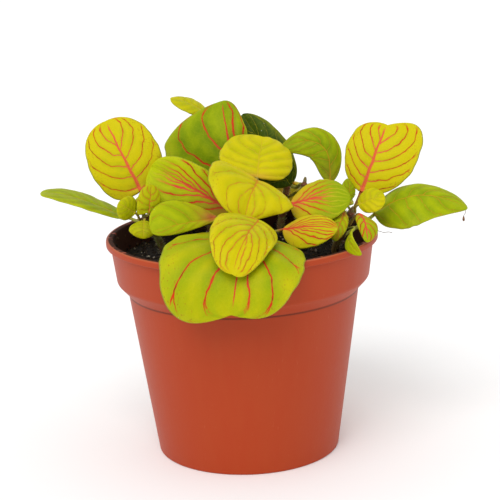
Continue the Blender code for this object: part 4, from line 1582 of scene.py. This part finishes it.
@dataclass
class Compost:
    """The bed of peat in the pot, with loose crumbs, fibres and pale grains lying on it."""

    top: float = 87.0
    crown: float = 2.0
    radius: float = 55.6
    rings: int = 92
    sides: int = 300
    crumbs: int = 1900
    wall_crumbs: int = 520
    wall_rise: float = 8.5
    crumb_size: Pair = (0.35, 1.5)
    fibres: int = 260
    grains: int = 190
    grain_size: Pair = (0.22, 0.62)
    brown_share: float = 0.12
    fibre_stride: Pair = (0.7, 1.9)
    fibre_radius: Pair = (0.08, 0.22)
    fibre_taper: tuple[float, ...] = (0.5, 0.9, 1.0, 1.0, 0.9, 0.8, 0.3)
    seed: int = 11
    stray: tuple[Triple, ...] = (
        (57.5, -9, 98.4),
        (59.5, -10, 98.9),
        (61.8, -10.5, 98.2),
        (64.0, -11, 98.5),
        (65.5, -11, 98.0),
    )
    under: tuple[Pair, ...] = ((54.2, 79.5), (49.6, 74.0), (39.0, 4.7))

    def level(self, x: float, y: float) -> float:
        """The height of the bed's uneven surface at a place.

        Args:
            x: The place to the right.
            y: The place to the rear.

        Returns:
            The height there.
        """
        far = min(math.hypot(x, y) / self.radius, 1.0)
        crown = self.crown * (1.0 - far * far)
        hills = noise.fractal(Vector((x * 0.085, y * 0.085, 3.1)), 0.9, 2.1, 4)
        clods = noise.fractal(Vector((x * 0.42, y * 0.42, 8.7)), 0.7, 2.2, 4)
        grit = noise.noise(Vector((x * 2.1, y * 2.1, 1.3)))
        return self.top + crown + 1.1 * hills + 0.75 * clods + 0.18 * grit

    def bed(self) -> Shape:
        """The bed: an uneven top that closes down the inside of the pot.

        Returns:
            The closed bed.
        """
        points: list[Triple] = [(0.0, 0.0, self.level(0.0, 0.0))]
        on_top = [(self.radius * ring / self.rings, None) for ring in range(1, self.rings + 1)]
        circles = [*on_top, *self.under]
        for radius, height in circles:
            for side in range(self.sides):
                angle = 2 * math.pi * side / self.sides
                x, y = radius * math.cos(angle), radius * math.sin(angle)
                points.append((x, y, self.level(x, y) if height is None else height))
        faces: list[Sequence[int]] = [(0, 1 + n, 1 + (n + 1) % self.sides) for n in range(self.sides)]
        last = 1 + (len(circles) - 1) * self.sides
        for low in range(1, last, self.sides):
            high = low + self.sides
            for side in range(self.sides):
                after = (side + 1) % self.sides
                faces.append((low + side, high + side, high + after, low + after))
        faces.append([last + side for side in reversed(range(self.sides))])
        made = Shape(np.array(points), faces)
        made.held["crumb_tone"] = np.zeros((len(points), 3))
        return made

    def scatter(self, count: int, chance: np.random.Generator, sunk: np.ndarray) -> np.ndarray:
        """Places all over the bed, each sunk by its own amount.

        Args:
            count: How many places.
            chance: Where the random numbers come from.
            sunk: How far each is below the surface.

        Returns:
            The places.
        """
        far = np.sqrt(chance.uniform(0.0, 1.0, count)) * (self.radius - 1.2)
        angle = chance.uniform(0.0, 2 * math.pi, count)
        x, y = far * np.cos(angle), far * np.sin(angle)
        z = np.array([self.level(float(a), float(b)) for a, b in zip(x, y)]) - sunk
        return np.stack([x, y, z], axis=1)

    def fibre(self, chance: np.random.Generator) -> Shape:
        """One short crooked fibre that lies on the bed.

        Args:
            chance: Where the random numbers come from.

        Returns:
            The fibre.
        """
        start = self.scatter(1, chance, np.zeros(1))[0]
        bearing = chance.uniform(0, 2 * math.pi)
        turning = chance.uniform(-0.5, 0.5)
        stride = chance.uniform(*self.fibre_stride)
        path = []
        for _ in self.fibre_taper:
            limit = min(1.0, (self.radius - 1.5) / max(math.hypot(start[0], start[1]), 1e-6))
            x, y = float(start[0] * limit), float(start[1] * limit)
            path.append((x, y, self.level(x, y) + chance.uniform(0.0, 0.7)))
            bearing += turning + chance.uniform(-0.3, 0.3)
            start = start + np.array((math.cos(bearing), math.sin(bearing), 0.0)) * stride
        thick = chance.uniform(*self.fibre_radius)
        made = tube(np.array(path), np.array(self.fibre_taper) * thick, 5)
        made.held["crumb_tone"] = np.tile((chance.uniform(0.3, 1.0), 0.0, 0.0), (len(made.points), 1))
        return made

    def build(self, pale: GrainFinish, flare: float) -> None:
        """Makes the bed and what lies on it.

        Args:
            pale: The finish of the grains.
            flare: How much wider the pot's wall is for each millimetre that it rises.
        """
        finish = CompostFinish().material()
        self.bed().piece("compost_bed", finish, Slot.COMPOST, ["soil"])
        chance = np.random.default_rng(self.seed)
        spread = chance.uniform(0.0, 1.0, self.crumbs) ** 3
        sizes = self.crumb_size[0] + (self.crumb_size[1] - self.crumb_size[0]) * spread
        browned = chance.uniform(size=self.crumbs) < self.brown_share
        tones = np.where(browned, chance.uniform(0.3, 0.9, self.crumbs), 0.04)
        places = self.scatter(self.crumbs, chance, sizes * 0.2)
        stuck = np.arange(self.crumbs) < self.wall_crumbs
        turn = np.arctan2(places[:, 1], places[:, 0])
        rise = chance.uniform(0.0, 1.0, self.crumbs) ** 1.6 * self.wall_rise
        wall_radius = self.radius + 0.4 + flare * rise - sizes * 0.5
        wall = np.stack([wall_radius * np.cos(turn), wall_radius * np.sin(turn), self.top + rise], axis=1)
        places = np.where(stuck[:, None], wall, places)
        sizes = np.where(stuck, sizes * 0.6, sizes)
        lumps(places, sizes, tones, chance, 0.13).piece("compost_crumbs", finish, Slot.COMPOST)
        stray = tube(np.array(self.stray), np.full(len(self.stray), 0.12), 6)
        stray.held["crumb_tone"] = np.tile((1.6, 0.0, 0.0), (len(stray.points), 1))
        strands = Shape.joined([stray, *(self.fibre(chance) for _ in range(self.fibres))])
        strands.piece("compost_fibres", finish, Slot.COMPOST)
        sizes = chance.uniform(*self.grain_size, self.grains)
        places = self.scatter(self.grains, chance, -sizes * 0.5)
        made = lumps(places, sizes, np.zeros(self.grains), chance, 0.10)
        made.piece("pale_grains", pale.material(), pale.slot)


# ---------------------------------------------------------------- studio


@dataclass
class Studio:
    """A pale floor, soft lights and the camera."""

    floor_radius: float = 6.0
    sky: float = 0.84
    sun: float = 1.4
    sun_softness: float = 40.0
    sun_way: Triple = (0.30, 0.85, -1.0)
    camera_target: float = 98.0
    camera_distance: float = 700.0
    camera_elevation: float = 13.5
    camera_roll: float = -2.1
    lens: float = 114.0
    shift: Pair = (0.0166, -0.035)

    def lay_floor(self) -> None:
        """A round plain floor."""
        shape = bmesh.new()
        bmesh.ops.create_circle(shape, cap_ends=True, segments=96, radius=self.floor_radius)
        mesh = meshed("floor", shape)
        mesh.materials.append(FloorFinish().material())
        placed("floor", mesh)

    def light(self) -> None:
        """An even white surround, and a very soft key from the upper left front."""
        world = bpy.data.worlds.new("white_surround")
        world.use_nodes = True
        surround = world.node_tree.nodes["Background"].inputs
        surround["Color"].default_value = (1.0, 1.0, 1.0, 1.0)
        surround["Strength"].default_value = self.sky
        bpy.context.scene.world = world
        data = bpy.data.lights.new("key", "SUN")
        data.energy = self.sun
        data.angle = math.radians(self.sun_softness)
        placed("key", data).rotation_euler = Vector(self.sun_way).to_track_quat("-Z", "Y").to_euler()

    def set_camera(self) -> None:
        """The camera: a long lens, a little above the pot's rim, turned slightly about its own axis."""
        data = bpy.data.cameras.new("camera")
        data.lens = self.lens
        data.sensor_width = 36.0
        data.shift_x, data.shift_y = self.shift
        data.clip_start = 0.01
        data.clip_end = 50.0
        camera = placed("camera", data)
        rise, roll = math.radians(self.camera_elevation), math.radians(self.camera_roll)
        back = Vector((0.0, -math.cos(rise), math.sin(rise)))
        level = Vector((1.0, 0.0, 0.0))
        upright = back.cross(level)
        right = math.cos(roll) * level + math.sin(roll) * upright
        up = -math.sin(roll) * level + math.cos(roll) * upright
        place = Vector((0.0, 0.0, self.camera_target * MM)) + back * self.camera_distance * MM
        turn = Matrix((right, up, back)).transposed().to_4x4()
        camera.matrix_world = Matrix.Translation(place) @ turn
        bpy.context.scene.camera = camera

    def build(self) -> None:
        """Sets everything round the plant."""
        self.lay_floor()
        self.light()
        self.set_camera()
        bpy.context.scene.view_settings.view_transform = "Standard"


# ---------------------------------------------------------------- the plant


def leaf_finishes() -> dict[Slot, bpy.types.Material]:
    """The finish of each leaf slot.

    Returns:
        The material for each slot.
    """
    finishes = (
        LeafFinish(Slot.LEAF_LIME, (0.55, 0.475, 0.001), (0.25, 0.33, 0.001)),
        LeafFinish(Slot.LEAF_GREEN, (0.42, 0.47, 0.001), (0.15, 0.24, 0.001)),
        LeafFinish(Slot.LEAF_OLIVE, (0.085, 0.14, 0.006), (0.04, 0.07, 0.004), (0.20, 0.24, 0.06)),
    )
    return {finish.slot: finish.material() for finish in finishes}


def main() -> None:
    """Builds the plant, piece by piece, and the studio round it."""
    logging.basicConfig(level=logging.INFO, format="%(name)s: %(message)s")
    compost = Compost()
    pot = Pot()
    pot.build(compost.top)
    compost.build(GrainFinish("pale_grain", dark=(0.16, 0.12, 0.08), light=(0.48, 0.42, 0.33)), pot.flare())
    stem_material = StemFinish().material()
    stems = {plan.name: plan for plan in STEMS}
    for number, plan in enumerate(STEMS):
        joints = tuple(leaf.height for leaf in LEAVES if leaf.stem == plan.name)
        Stem(plan, joints).build(stem_material, 100 + number)
    finishes = leaf_finishes()
    for number, leaf in enumerate(LEAVES):
        Leaf(leaf, stems[leaf.stem], number).build(finishes[leaf.slot])
    DriedDrop().build(GrainFinish("dried_brown", dark=(0.10, 0.04, 0.015), light=(0.26, 0.12, 0.05)))
    Studio().build()


if __name__ == "__main__":
    main()
